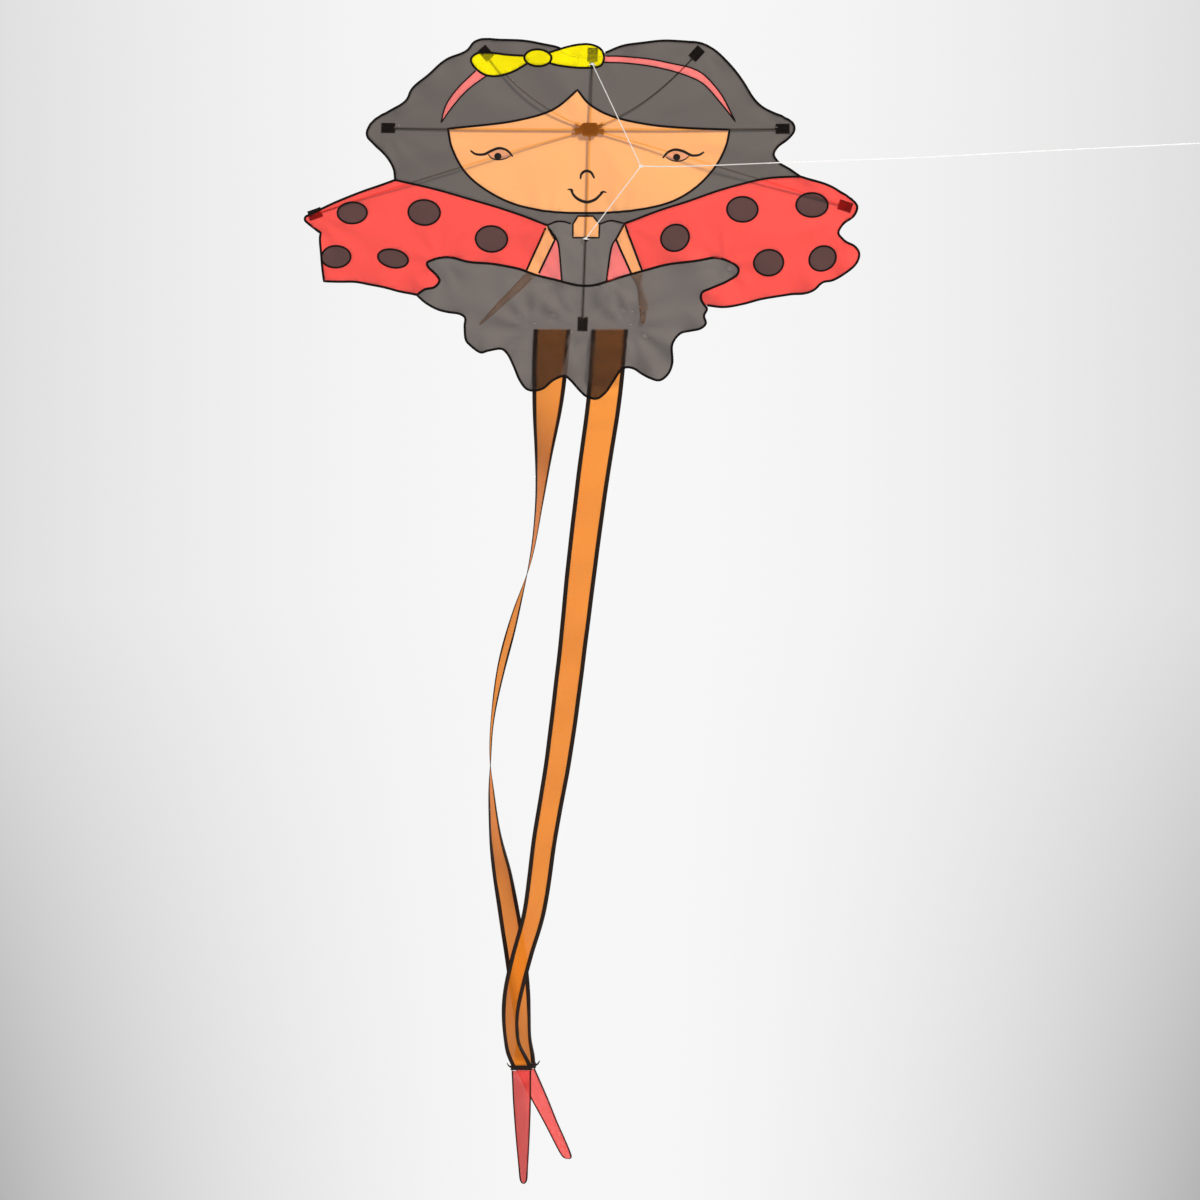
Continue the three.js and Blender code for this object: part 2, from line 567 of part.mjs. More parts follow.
const lineEnd = linePoints.at(-1);
const lineOut = line.getTangent(1);
const knotCentre = lineEnd.clone().addScaledVector(lineOut, TOW_KNOT + GAP);
add('line_end_knot', knot(knotCentre), COLOUR.cord, CORD_ROUGHNESS);
const loopCentre = knotCentre.clone()
  .addScaledVector(lineOut, TOW_KNOT + GAP + LINE_LOOP * LOOP_LONGER + LINE_CORD / 2);
const lineHeading = Math.atan2(lineOut.y, lineOut.x);
add('line_end_loop', new THREE.TorusGeometry(LINE_LOOP, LINE_CORD / 2, CORD_SIDES, RING_STEPS)
  .scale(LOOP_LONGER, LOOP_NARROWER, 1).rotateX(Math.PI / 2).rotateZ(lineHeading)
  .translate(loopCentre.x, loopCentre.y, loopCentre.z), COLOUR.cord, CORD_ROUGHNESS);

// ---------------------------------------------------------------- legs, cuffs and boots
const hipZ = at([0, -399]).y;
const behindSkirt = sailY(HIP_REACH) + (CLOTH + LEG_CLOTH) / 2 + 2 * GAP;

// Stations down a leg: share of its length, sideways place, depth behind the skirt, turn.
const LEG_STATIONS = {
  leg_right: [[0, 40, 0, 0], [0.095, 28, 3, 2], [0.2, 6, 4, 6], [0.312, -15, 5, 10],
    [0.45, -38, 6, 12], [0.586, -64, 6, 8], [0.689, -90, 5, 10], [0.793, -112, 3, 8],
    [0.854, -137, 0, 12], [0.9, -153, -1, 25], [0.935, -159, -1, 42], [0.97, -155, -1, 44],
    [1, -137, -1, 0]],
  leg_left: [[0, -75, 0, 0], [0.04, -79, 8, 10], [0.085, -83, 20, 26], [0.16, -92, 30, 58],
    [0.235, -102, 32, 76], [0.312, -119, 32, 90], [0.39, -151, 32, 104], [0.47, -181, 31, 106],
    [0.54, -197, 30, 100], [0.586, -200, 29, 93], [0.63, -198, 28, 78], [0.689, -190, 26, 66],
    [0.742, -176, 26, 44], [0.793, -163, 27, 28], [0.85, -150, 29, 16], [0.9, -141, 32, 25],
    [0.935, -136, 34, 42], [0.97, -133, 32, 44], [1, -130, 26, 0]],
};

// The boots taper to a rounded toe. The left one trails to the right and back, by these shares
// of its length. Widths are shares of BOOT_WIDTH at shares of the length.
const BOOTS = {
  leg_right: { side: 0.02, back: 0,
    widths: [[0, 1], [0.3, 0.9], [0.6, 0.7], [0.85, 0.48], [0.96, 0.38], [1, 0.16]] },
  leg_left: { side: 0.38, back: 0.33,
    widths: [[0, 1], [0.3, 0.9], [0.6, 0.7], [0.85, 0.62], [0.96, 0.52], [1, 0.16]] },
};

for (const [name, stations] of Object.entries(LEG_STATIONS)) {
  const placed = stations.map(([share, x, y, turn]) => ({
    x, y: y + behindSkirt, z: hipZ - share * LEG_LENGTH, turn,
    width: THREE.MathUtils.lerp(LEG_WIDTH, ANKLE_WIDTH, share),
  }));
  add(name, ribbon(placed, LEG_CLOTH, LEG_STEPS), COLOUR.leg);

  const ankle = placed.at(-1);
  const cuffTop = { ...ankle, z: ankle.z - GAP, width: ANKLE_WIDTH + CUFF_FLARE };
  const cuffFoot = { ...ankle, z: cuffTop.z - CUFF_HEIGHT, width: BOOT_WIDTH };
  add(name.replace('leg', 'cuff'), ribbon([cuffTop, cuffFoot], CUFF_THICKNESS, CUFF_STEPS),
    COLOUR.cuff);

  const { side, back, widths } = BOOTS[name];
  const down = Math.sqrt(1 - side ** 2 - back ** 2);
  const boot = widths.map(([share, width]) => ({
    x: ankle.x + share * side * BOOT_LENGTH,
    y: ankle.y + share * back * BOOT_LENGTH,
    z: cuffFoot.z - ANKLE_GAP - share * down * BOOT_LENGTH,
    width: width * BOOT_WIDTH,
  }));
  add(name.replace('leg', 'boot'), ribbon(boot, BOOT_THICKNESS, BOOT_STEPS), COLOUR.boot);
}

// ---------------------------------------------------------------- loose forearms
// Tapered strips sewn in at the skirt's top seam, which hang behind the skirt. Stations: share
// of the drop, sideways place, share of ARM_WIDTH, turn in degrees.
const ARM_STATIONS = {
  forearm_left: [[0, -116, 1, 0], [0.3, -147, 0.9, 4], [0.65, -184, 0.62, 8],
    [1, -219, 0.2, 10]],
  forearm_right: [[0, 93, 1, 0], [0.3, 100, 0.5, 40], [0.6, 107, 0.75, 20],
    [1, 105, 0.3, 10]],
};
const armTop = at([0, -288]).y;

for (const [name, stations] of Object.entries(ARM_STATIONS)) {
  const placed = stations.map(([share, x, widthShare, turn]) => {
    const width = widthShare * ARM_WIDTH;
    const lean = (width / 2) * Math.sin(THREE.MathUtils.degToRad(turn));
    const outerEdge = Math.abs(x * ACROSS) + width / 2;
    return { x: x * ACROSS, y: sailY(outerEdge) + CLOTH + 2 * GAP + lean,
      z: armTop - share * ARM_DROP, width, turn };
  });
  add(name, ribbon(placed, CLOTH, ARM_STEPS), COLOUR.arm);
}

export default kite;
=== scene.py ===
# %% [markdown]
# # A figure kite
# This kite is a girl in a spotted costume. Cloth panels are sewn edge to edge into one sail, a
# spine and six thin rods spread it from a moulded hub, two cords tow it, and two ribbon legs
# trail below. The imported CAD model is loaded first. It is the frame that every new piece is
# fitted to. The finished model must not outgrow it.

# %% Load the frame
import json
import math
import bmesh
import bpy
import numpy as np
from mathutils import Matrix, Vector
from mathutils.geometry import delaunay_2d_cdt
from mathutils.kdtree import KDTree

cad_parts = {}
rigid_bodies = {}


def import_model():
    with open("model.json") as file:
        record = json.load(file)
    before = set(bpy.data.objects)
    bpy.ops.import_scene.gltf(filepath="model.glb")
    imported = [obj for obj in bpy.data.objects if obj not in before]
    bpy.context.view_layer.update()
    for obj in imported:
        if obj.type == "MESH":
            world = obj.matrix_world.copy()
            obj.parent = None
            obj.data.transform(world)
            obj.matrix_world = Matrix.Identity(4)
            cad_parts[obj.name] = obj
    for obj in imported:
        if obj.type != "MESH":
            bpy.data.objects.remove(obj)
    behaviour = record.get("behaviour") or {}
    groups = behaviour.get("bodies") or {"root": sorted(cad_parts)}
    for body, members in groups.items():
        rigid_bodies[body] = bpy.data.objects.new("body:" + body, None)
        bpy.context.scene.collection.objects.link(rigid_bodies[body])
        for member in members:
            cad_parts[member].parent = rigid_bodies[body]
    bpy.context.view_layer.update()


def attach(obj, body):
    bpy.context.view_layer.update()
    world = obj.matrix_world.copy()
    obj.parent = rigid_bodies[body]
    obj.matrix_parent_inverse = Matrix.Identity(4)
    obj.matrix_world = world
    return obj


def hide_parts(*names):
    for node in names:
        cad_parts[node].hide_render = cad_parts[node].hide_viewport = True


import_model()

MM = 0.001

# %% [markdown]
# ## The camera
# A kite is seen from far below, so its lens is long and its picture almost flat. The camera
# looks straight at the sail from 6 m. Lens and distance together take in 2.4 m, which leaves
# air round the kite. A wider lens closer in would make the near wing tips look too large.

# %% Camera
CAMERA_PLACE = (0.020, -6.0, -0.940)
LENS = 90
SENSOR = 36
camera_data = bpy.data.cameras.new("kite_camera")
camera_data.lens = LENS
camera_data.sensor_width = SENSOR
camera = bpy.data.objects.new("kite_camera", camera_data)
camera.location = CAMERA_PLACE
camera.rotation_euler = (math.pi / 2, 0, 0)
bpy.context.scene.collection.objects.link(camera)
bpy.context.scene.camera = camera
print("camera takes in", round(SENSOR / LENS * -CAMERA_PLACE[1], 2), "m")

# %% [markdown]
# ## The cords
# The bridle is two short cords from the spine to one knot, and the flying line leaves that
# knot and is held taut by whoever flies the kite. A curve with a round bevel is the usual way
# to make a cord: its control points are the route, and its thickness is one number. The line
# is pulled tight, so it has only the shallow sag of a long thin cord. It ends in a tied loop
# a little way outside the view.

# %% Cord routes
CURVE_STEPS = 24
CORD_STEP = 0.012
LINE_STEP = 0.030
SPINE_LEAN = 0.037
BRIDLE_FORWARD = -0.026
BRIDLE_TOP_Z = 0.128
BRIDLE_LOW_Z = -0.220
CORD = 0.002
KNOT_REACH = 0.0043
TOW_POINT = Vector((0.101, -0.054, -0.080))
LINE_ROUTE = [(0.161, -0.061, -0.082), (0.376, -0.088, -0.078), (0.640, -0.122, -0.073),
              (0.900, -0.154, -0.064), (1.190, -0.190, -0.055)]


def run_along(points):
    """How far along a line each of its points is."""
    return np.r_[0, np.cumsum(np.linalg.norm(np.diff(points, axis=0), axis=1))]


def at_places(points, run, places):
    """The points at some distances along a line."""
    return np.stack([np.interp(places, run, points[:, k]) for k in range(points.shape[1])], 1)


def smooth_line(points, step, closed=False):
    """Evenly spaced points on a centripetal Catmull-Rom curve through the given ones."""
    points = [np.array(p, float) for p in points]
    if len(points) == 2:
        fine = np.linspace(points[0], points[1], 60)
    else:
        if closed:
            points = [points[-1]] + points + points[:2]
        else:
            points = [2 * points[0] - points[1]] + points + [2 * points[-1] - points[-2]]
        fine = []
        for p0, p1, p2, p3 in zip(points, points[1:], points[2:], points[3:]):
            t0 = max(np.linalg.norm(p1 - p0) ** 0.5, 1e-4)
            t1 = max(np.linalg.norm(p2 - p1) ** 0.5, 1e-4)
            t2 = max(np.linalg.norm(p3 - p2) ** 0.5, 1e-4)
            m1 = ((p1 - p0) / t0 - (p2 - p0) / (t0 + t1) + (p2 - p1) / t1) * t1
            m2 = ((p2 - p1) / t1 - (p3 - p1) / (t1 + t2) + (p3 - p2) / t2) * t1
            for t in np.linspace(0, 1, CURVE_STEPS, endpoint=False):
                fine.append((2 * t**3 - 3 * t**2 + 1) * p1 + (t**3 - 2 * t**2 + t) * m1
                            + (3 * t**2 - 2 * t**3) * p2 + (t**3 - t**2) * m2)
        fine = np.array(fine + [points[-2]])
    run = run_along(fine)
    count = max(1, round(run[-1] / step))
    return at_places(fine, run, np.linspace(0, run[-1], count + 1))


def length_of(points):
    return float(np.linalg.norm(np.diff(np.array(points, float), axis=0), axis=1).sum())


def spine_x(z):
    return SPINE_LEAN * z


def round_line(name, points, diameter, closed=False, sides=4):
    """A curve with a round section, turned into a mesh. Used for rods and cords."""
    data = bpy.data.curves.new(name, "CURVE")
    data.dimensions = "3D"
    data.bevel_depth = diameter / 2
    data.bevel_resolution = sides
    data.use_fill_caps = True
    spline = data.splines.new("POLY")
    spline.points.add(len(points) - 1)
    for spot, place in zip(spline.points, points):
        spot.co = (*place, 1)
    spline.use_cyclic_u = closed
    drawn = bpy.data.objects.new(name + "_curve", data)
    bpy.context.scene.collection.objects.link(drawn)
    graph = bpy.context.evaluated_depsgraph_get()
    mesh = bpy.data.meshes.new_from_object(drawn.evaluated_get(graph))
    bpy.data.objects.remove(drawn)
    mesh.name = name
    for side_face in mesh.polygons:
        side_face.use_smooth = len(side_face.vertices) == 4
    piece = bpy.data.objects.new(name, mesh)
    bpy.context.scene.collection.objects.link(piece)
    return piece


def meet_knot(start):
    """The end of a bridle leg, just short of the tow knot's middle."""
    return TOW_POINT - (TOW_POINT - start).normalized() * KNOT_REACH


bridle_starts = {"upper": Vector((spine_x(BRIDLE_TOP_Z), BRIDLE_FORWARD, BRIDLE_TOP_Z)),
                 "lower": Vector((spine_x(BRIDLE_LOW_Z), BRIDLE_FORWARD, BRIDLE_LOW_Z))}
line_start = TOW_POINT + (Vector(LINE_ROUTE[0]) - TOW_POINT).normalized() * KNOT_REACH
line_points = smooth_line([line_start] + LINE_ROUTE, LINE_STEP)
print("flying line", round(length_of(line_points), 3), "m")

# %% [markdown]
# ## Cord pieces
# A knot is a cord wound over itself. Real knots this small read as a lumpy ball with a few
# crossing turns, so each is one closed curve whose three lobes meet in its middle. The
# tied loop at the end of the line is another closed curve, drawn to a teardrop.

# %% Cords, knots and loop
KNOT_RADIUS = 0.004
KNOT_STEPS = 90


def tight_knot(name, centre, radius, cord):
    """The lump of a small knot: one closed cord whose three lobes meet in its middle."""
    turn = np.linspace(0, 2 * math.pi, KNOT_STEPS, endpoint=False)
    reach = radius - cord / 2
    wound = np.stack([reach * 0.72 * (np.sin(turn) + 0.45 * np.sin(2 * turn)),
                      reach * 0.72 * (np.cos(turn) - 0.45 * np.cos(2 * turn)),
                      -reach * 0.62 * np.sin(3 * turn)], 1)
    return round_line(name, np.array(centre) + wound, cord * 1.25, closed=True)


bridle_cords = {}
for side, start in bridle_starts.items():
    end = meet_knot(start)
    points = smooth_line([start, end], CORD_STEP)
    bridle_cords[side] = round_line(f"bridle_{side}_cord", points, CORD)
    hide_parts(f"bridle_{side}_leg")
    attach(bridle_cords[side], "bridle")
tow_knot = tight_knot("tow_knot_wound", TOW_POINT, KNOT_RADIUS, CORD)
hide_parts("tow_knot")
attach(tow_knot, "bridle")

line_out = Vector(line_points[-1] - line_points[-2]).normalized()
knot_place = Vector(line_points[-1]) + line_out * KNOT_REACH
end_knot = tight_knot("line_end_knot_wound", knot_place, KNOT_RADIUS, CORD)
LOOP_LONG = 0.0224
LOOP_WIDE = 0.0085
loop_turn = np.linspace(-math.pi, math.pi, 48, endpoint=False)
loop_centre = np.array(knot_place) + np.array(line_out) * (KNOT_REACH + LOOP_LONG + CORD / 2)
loop_across = np.array((-line_out.y, line_out.x, 0))
loop_points = [loop_centre + np.array(line_out) * LOOP_LONG * math.cos(t)
               + loop_across * LOOP_WIDE * math.sin(t) * (0.65 + 0.35 * math.cos(t))
               for t in loop_turn]
end_loop = round_line("line_end_loop_tied", loop_points, CORD, closed=True)
flying_line = round_line("flying_line_cord", line_points, CORD)
for piece, node in [(flying_line, "flying_line"), (end_knot, "line_end_knot"),
                    (end_loop, "line_end_loop")]:
    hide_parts(node)
    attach(piece, "flying_line")
cord_pieces = [*bridle_cords.values(), tow_knot, flying_line, end_knot, end_loop]
print("cord pieces:", [piece.name for piece in cord_pieces])

# %% [markdown]
# ## Shader maths in plain expressions
# A material's detail comes from numbers that vary over the surface. Wiring Math nodes by hand
# is slow to read, so a socket is wrapped in a small class: adding or multiplying two wires
# adds the node. Every other kind of node comes from one method of Finish.

# %% Wire and Finish


class Wire:
    """An output socket that grows Math nodes when it is used in an expression."""

    def __init__(self, finish, socket):
        self.finish, self.socket = finish, socket

    def maths(self, operation, *values):
        return self.finish.node("Math", {"operation": operation}, dict(enumerate(values)))

    def __add__(self, other):
        return self.maths("ADD", self, other)

    def __radd__(self, other):
        return self.maths("ADD", other, self)

    def __sub__(self, other):
        return self.maths("SUBTRACT", self, other)

    def __rsub__(self, other):
        return self.maths("SUBTRACT", other, self)

    def __mul__(self, other):
        return self.maths("MULTIPLY", self, other)

    def __rmul__(self, other):
        return self.maths("MULTIPLY", other, self)

    def wave(self, length):
        """0 to 1 and back, once in each length."""
        turned = self * (2 * math.pi / length)
        return self.maths("SINE", turned) * 0.5 + 0.5

    def ridge(self, spacing, share):
        """1 on a thin line that repeats every spacing, 0 between. share is its width."""
        cell = self.maths("FRACT", self * (1 / spacing))
        return self.maths("LESS_THAN", cell, share)


class Finish:
    """A material, or the sky, being wired up."""

    def __init__(self, name, tree=None):
        self.material = None
        if tree is None:
            self.material = bpy.data.materials.new(name)
            self.material.use_nodes = True
            tree = self.material.node_tree
        self.tree = tree
        self.tree.nodes.clear()

    def node(self, kind, settings=None, inputs=None, output=0):
        made = self.tree.nodes.new("ShaderNode" + kind)
        for key, value in (settings or {}).items():
            setattr(made, key, value)
        for key, value in (inputs or {}).items():
            if isinstance(value, Wire):
                self.tree.links.new(value.socket, made.inputs[key])
            else:
                made.inputs[key].default_value = value
        return Wire(self, made.outputs[output])

    def axes(self, source):
        """The three numbers of a vector."""
        made = self.node("SeparateXYZ", None, {0: source})
        outputs = made.socket.node.outputs
        return [Wire(self, outputs[i]) for i in range(3)]

    def mixed(self, factor, first, second):
        """A colour between two colours."""
        made = self.tree.nodes.new("ShaderNodeMix")
        made.data_type = "RGBA"
        for place, value in ((0, factor), (6, first), (7, second)):
            if isinstance(value, Wire):
                self.tree.links.new(value.socket, made.inputs[place])
            else:
                made.inputs[place].default_value = value
        return Wire(self, made.outputs[2])

    def end(self, surface):
        made = self.tree.nodes.new("ShaderNodeOutputMaterial")
        self.tree.links.new(surface.socket, made.inputs["Surface"])
        return self.material


def shade(colour, by):
    """A colour made darker or lighter."""
    return tuple(min(1.0, part * by) for part in colour[:3]) + (1,)


print("wire and finish ready")

# %% [markdown]
# ## Cloth that glows
# Kite cloth is thin woven nylon. With the sun behind it, light comes through, so the colours
# glow, and rods and seams behind it show as darker lines. Three shaders together give that:
# an ordinary one for the front, a translucent one for light from behind, and a little plain
# transparency for the gaps in the weave. Ripstop has a thicker thread every few millimetres
# in both directions, which makes its fine grid. Dye takes unevenly, so a slow noise varies
# the colour. Thin creases are painted darker, as painted shade in the folds. What shines
# through is paler than the dye.

# %% Cloth finishes
RIPSTOP = 0.006
THREAD = 0.0011
THICK_SHARE = 0.16
FRONT_SHARE = 0.42


def cloth(name, colour, sheer):
    """Ripstop nylon in one dye. sheer is how open the weave is."""
    finish = Finish(name)
    across, up, _ = finish.axes(finish.node("UVMap"))
    where = finish.node("TexCoord", None, None, "Object")
    slow = finish.node("TexNoise", None, {"Vector": where, "Scale": 6.0, "Detail": 3.0})
    fine = finish.node("TexNoise", None, {"Vector": where, "Scale": 420.0, "Detail": 2.0})
    creases = finish.node("TexVoronoi", {"feature": "DISTANCE_TO_EDGE"},
                          {"Vector": where, "Scale": 9.0})
    crease = finish.node("Math", {"operation": "LESS_THAN"}, {0: creases, 1: 0.012})
    grid = across.maths("MAXIMUM", across.ridge(RIPSTOP, THICK_SHARE),
                        up.ridge(RIPSTOP, THICK_SHARE))
    weave = across.wave(THREAD) * up.wave(THREAD)
    dark, light = shade(colour, 0.86), shade(colour, 1.14)
    dyed = finish.mixed(slow * 0.9 + fine * 0.12, dark, light)
    # The ripstop grid is darker in the dye, and the thin creases get painted shade.
    ripstop_and_crease_shade = finish.mixed(grid * 0.35 + crease * 0.25, dyed, shade(colour, 0.74))
    bump = finish.node("Bump", None, {"Strength": 0.22, "Distance": 0.0004,
                                      "Height": weave * 0.4 + grid + crease * 0.6})
    front = finish.node("BsdfPrincipled", None, {
        "Base Color": ripstop_and_crease_shade, "Roughness": 0.62 + slow * 0.2 - grid * 0.1, "Normal": bump,
        "Sheen Weight": 0.12, "Sheen Roughness": 0.5, "Specular IOR Level": 0.3})
    passed = tuple(part ** 0.5 for part in colour[:3]) + (1,)
    behind = finish.node("BsdfTranslucent", None, {"Color": passed})
    body = finish.node("MixShader", None, {0: 1 - FRONT_SHARE, 1: front, 2: behind})
    clear = finish.node("BsdfTransparent")
    return finish.end(finish.node("MixShader", None, {0: sheer, 1: body, 2: clear}))


# Each cloth's dye, and how sheer it is.
CLOTHS = {"hair_cloth": ((0.04, 0.026, 0.019, 1), 0.255),
          "dress_cloth": ((0.06, 0.041, 0.032, 1), 0.265),
          "skin_cloth": ((0.95, 0.28, 0.022, 1), 0.34),
          "arm_cloth": ((0.97, 0.26, 0.02, 1), 0.33),
          "wing_cloth": ((0.97, 0.02, 0.011, 1), 0.215),
          "gusset_cloth": ((0.92, 0.042, 0.032, 1), 0.34),
          "band_cloth": ((0.88, 0.085, 0.07, 1), 0.26),
          "bow_cloth": ((0.98, 0.83, 0.0, 1), 0.03),
          "spot_cloth": ((0.045, 0.008, 0.006, 1), 0.18),
          # The forearms: a lighter, sheerer copy of the arm cloth, as painted light.
          "forearm_cloth": ((0.97, 0.30, 0.05, 1), 0.62),
          "leg_cloth": ((1.0, 0.268, 0.006, 1), 0.19),
          "boot_cloth": ((1.0, 0.050, 0.040, 1), 0.27),
          # The boot's back layer: a paler, almost clear copy of the boot cloth, as painted light.
          "boot_back_lit_copy": ((1.0, 0.42, 0.38, 1), 0.92),
          "print_pink": ((0.98, 0.62, 0.56, 1), 0.55)}
FINISHES = {name: cloth(name, *look) for name, look in CLOTHS.items()}
print("cloth finishes:", len(FINISHES))

# %% [markdown]
# ## Finishes that don't glow, and a cord with a painted glow
# The seams are bound with a narrow dark tape that is woven much tighter than the sail. Rods
# are drawn glass fibre, smooth and slightly glossy. The hub is moulded plastic with the fine
# grain of a spark-finished mould. The cords are braided white polyester, and they are given a
# faint emission, a painted glow.

# %% Tape, rod, plastic and braid
RIB = 0.0014
RIB_THREAD = 0.0009
STRAND = 0.0016


def plain(name, colour, rough, scale, strength=0.25, coat=0.0, variation=0.3):
    """A solid finish with a grain. scale is how fine the grain is."""
    finish = Finish(name)
    where = finish.node("TexCoord", None, None, "Object")
    grain = finish.node("TexNoise", None, {"Vector": where, "Scale": scale, "Detail": 4.0})
    slow = finish.node("TexNoise", None, {"Vector": where, "Scale": 14.0, "Detail": 2.0})
    toned = finish.mixed(grain * variation + slow * variation, shade(colour, 0.75),
                         shade(colour, 1.3))
    bump = finish.node("Bump", None, {"Strength": strength, "Distance": 0.0003,
                                      "Height": grain})
    return finish.end(finish.node("BsdfPrincipled", None, {
        "Base Color": toned, "Roughness": rough + grain * 0.2, "Normal": bump,
        "Coat Weight": coat, "Coat Roughness": 0.3}))


def woven_tape(name, colour):
    """Tape with ribs across it and fine threads along it."""
    finish = Finish(name)
    along, across, _ = finish.axes(finish.node("UVMap"))
    ribs = along.wave(RIB)
    threads = across.wave(RIB_THREAD)
    where = finish.node("TexCoord", None, None, "Object")
    slow = finish.node("TexNoise", None, {"Vector": where, "Scale": 30.0, "Detail": 3.0})
    toned = finish.mixed(ribs * 0.4 + slow * 0.5, shade(colour, 0.7), shade(colour, 1.5))
    bump = finish.node("Bump", None, {"Strength": 0.5, "Distance": 0.0003,
                                      "Height": ribs + threads * 0.5})
    return finish.end(finish.node("BsdfPrincipled", None, {
        "Base Color": toned, "Roughness": 0.75 + slow * 0.15, "Normal": bump,
        "Specular IOR Level": 0.2}))


def braid(name, colour):
    """Cord whose strands cross in two slants, with a faint painted glow."""
    finish = Finish(name)
    x, y, z = finish.axes(finish.node("TexCoord", None, None, "Object"))
    strands = (x + z).wave(STRAND) * (x - z + y).wave(STRAND)
    toned = finish.mixed(strands, shade(colour, 0.72), shade(colour, 1.05))
    bump = finish.node("Bump", None, {"Strength": 0.6, "Distance": 0.0002,
                                      "Height": strands})
    # A faint emission makes the cord glow though it is no lamp: a painted glow.
    front = finish.node("BsdfPrincipled", None, {
        "Base Color": toned, "Roughness": 0.7 - strands * 0.2, "Normal": bump,
        "Emission Color": colour, "Emission Strength": 0.4})
    behind = finish.node("BsdfTranslucent", None, {"Color": colour})
    return finish.end(finish.node("MixShader", None, {0: 0.45, 1: front, 2: behind}))


TAPE_COLOURS = {"pocket_tape": (0.026, 0.018, 0.015, 1), "cuff_tape": (0.030, 0.018, 0.016, 1),
                "leg_tape": (0.030, 0.017, 0.012, 1), "seam_tape": (0.010, 0.006, 0.005, 1)}
# Each plain finish: colour, roughness, how fine the grain is, then its bump and its coat.
PLAINS = {"rod_fibreglass": ((0.022, 0.018, 0.016, 1), 0.25, 900.0, 0.12, 0.3),
          "rod_cap_vinyl": ((0.012, 0.011, 0.011, 1), 0.5, 500.0),
          "hub_plastic": ((0.018, 0.016, 0.015, 1), 0.42, 1400.0, 0.35),
          "stitch_thread": ((0.75, 0.72, 0.68, 1), 0.6, 900.0),
          "print_ink": ((0.016, 0.008, 0.006, 1), 0.7, 300.0),
          "dark_thread": ((0.030, 0.024, 0.022, 1), 0.7, 900.0)}
FINISHES.update({name: woven_tape(name, colour) for name, colour in TAPE_COLOURS.items()})
FINISHES.update({name: plain(name, *look) for name, look in PLAINS.items()})
FINISHES["cord_braid"] = braid("cord_braid", (0.97, 0.97, 0.95, 1))
for piece in cord_pieces:
    piece.data.materials.append(FINISHES["cord_braid"])
print("finishes:", sorted(FINISHES))

# %% [markdown]
# ## The sail's outlines
# Each panel is a drawn shape, in millimetres from the hub: x to the right and z up. A smooth
# stretch is a curve through a few points, and stretches join at the corners. Seams that two
# panels share are drawn once, so the panels meet exactly.

# %% Panel outlines
CLOTH_STEP = 4.5


def smooth(points):
    return smooth_line(points, CLOTH_STEP)


def straight(*points):
    return np.array(points, float)


def outline(*stretches):
    """Joins stretches into one closed outline, without doubled points."""
    joined = np.vstack(stretches)
    gap = np.linalg.norm(joined - np.roll(joined, -1, 0), axis=1)
    return joined[gap > 0.3]


def oval(centre, across, up, degrees):
    angle = np.linspace(0, 2 * math.pi, round(2 * math.pi * across / CLOTH_STEP), endpoint=False)
    x, z = across * np.cos(angle), up * np.sin(angle)
    turn = math.radians(degrees)
    return np.stack([x * math.cos(turn) - z * math.sin(turn) + centre[0],
                     x * math.sin(turn) + z * math.cos(turn) + centre[1]], 1)


shoulder_left = smooth([
  [-86, -191], [-126, -175], [-185, -155], [-244, -137], [-303, -120], [-390, -99]])
shoulder_right = smooth([
  [69, -188], [136, -162], [201, -141], [258, -121], [307, -107], [356, -96], [422, -91]])
waist = smooth([[-56, -304], [-31, -311], [-14, -313], [7, -312], [33, -304]])

hair_left = smooth([
  [-390, -99], [-393, -77], [-406, -53], [-430, -29], [-447, -9], [-446, 4], [-434, 20],
  [-394, 44], [-367, 63], [-357, 82], [-323, 113], [-284, 143], [-244, 160], [-234, 172],
  [-220, 179], [-185, 180], [-145, 178], [-102, 172], [-66, 165], [-40, 150], [0, 145]])
hair_right = smooth([
  [0, 145], [24, 150], [75, 169], [124, 176], [169, 177], [222, 172], [250, 157], [279, 133],
  [307, 96], [332, 59], [348, 44], [389, 27], [407, 14], [409, 0], [397, -16], [375, -33],
  [368, -47], [377, -63], [401, -78], [422, -91]])
hair = outline(hair_left, hair_right, shoulder_right[::-1],
  straight([19, -200], [-34, -200]), shoulder_left)

face = outline(
  smooth([[-284, 2], [-148, 17], [-73, 39], [-25, 78]]),
  smooth([[-25, 78], [-3, 51], [30, 31], [62, 20], [124, 8], [185, 3], [279, 0]]),
  smooth([[279, 0], [273, -29], [254, -69], [218, -110], [169, -141], [103, -159], [0, -168],
    [-111, -159], [-179, -137], [-246, -89], [-276, -36], [-284, 2]]))

bow_knot = oval([-104, 143], 27, 17, 0)
bow_left = outline(
  smooth([[-118, 146], [-165, 149], [-201, 153], [-226, 152], [-238, 141], [-232, 127],
    [-213, 111], [-189, 106], [-153, 115], [-118, 136]]))
bow_right = outline(
  smooth([[-90, 152], [-46, 164], [-3, 169], [22, 159], [28, 143], [22, 127], [1, 122],
    [-60, 127], [-90, 136]]))
headband_left = outline(
  smooth([[-222, 124], [-264, 85], [-288, 50], [-298, 14]]),
  smooth([[-298, 14], [-272, 50], [-244, 81], [-200, 112]]))
headband_right = outline(
  smooth([[18, 146], [103, 143], [156, 133], [218, 116], [258, 78], [291, 16]]),
  smooth([[291, 16], [262, 53], [226, 92], [185, 110], [103, 129], [18, 134]]))

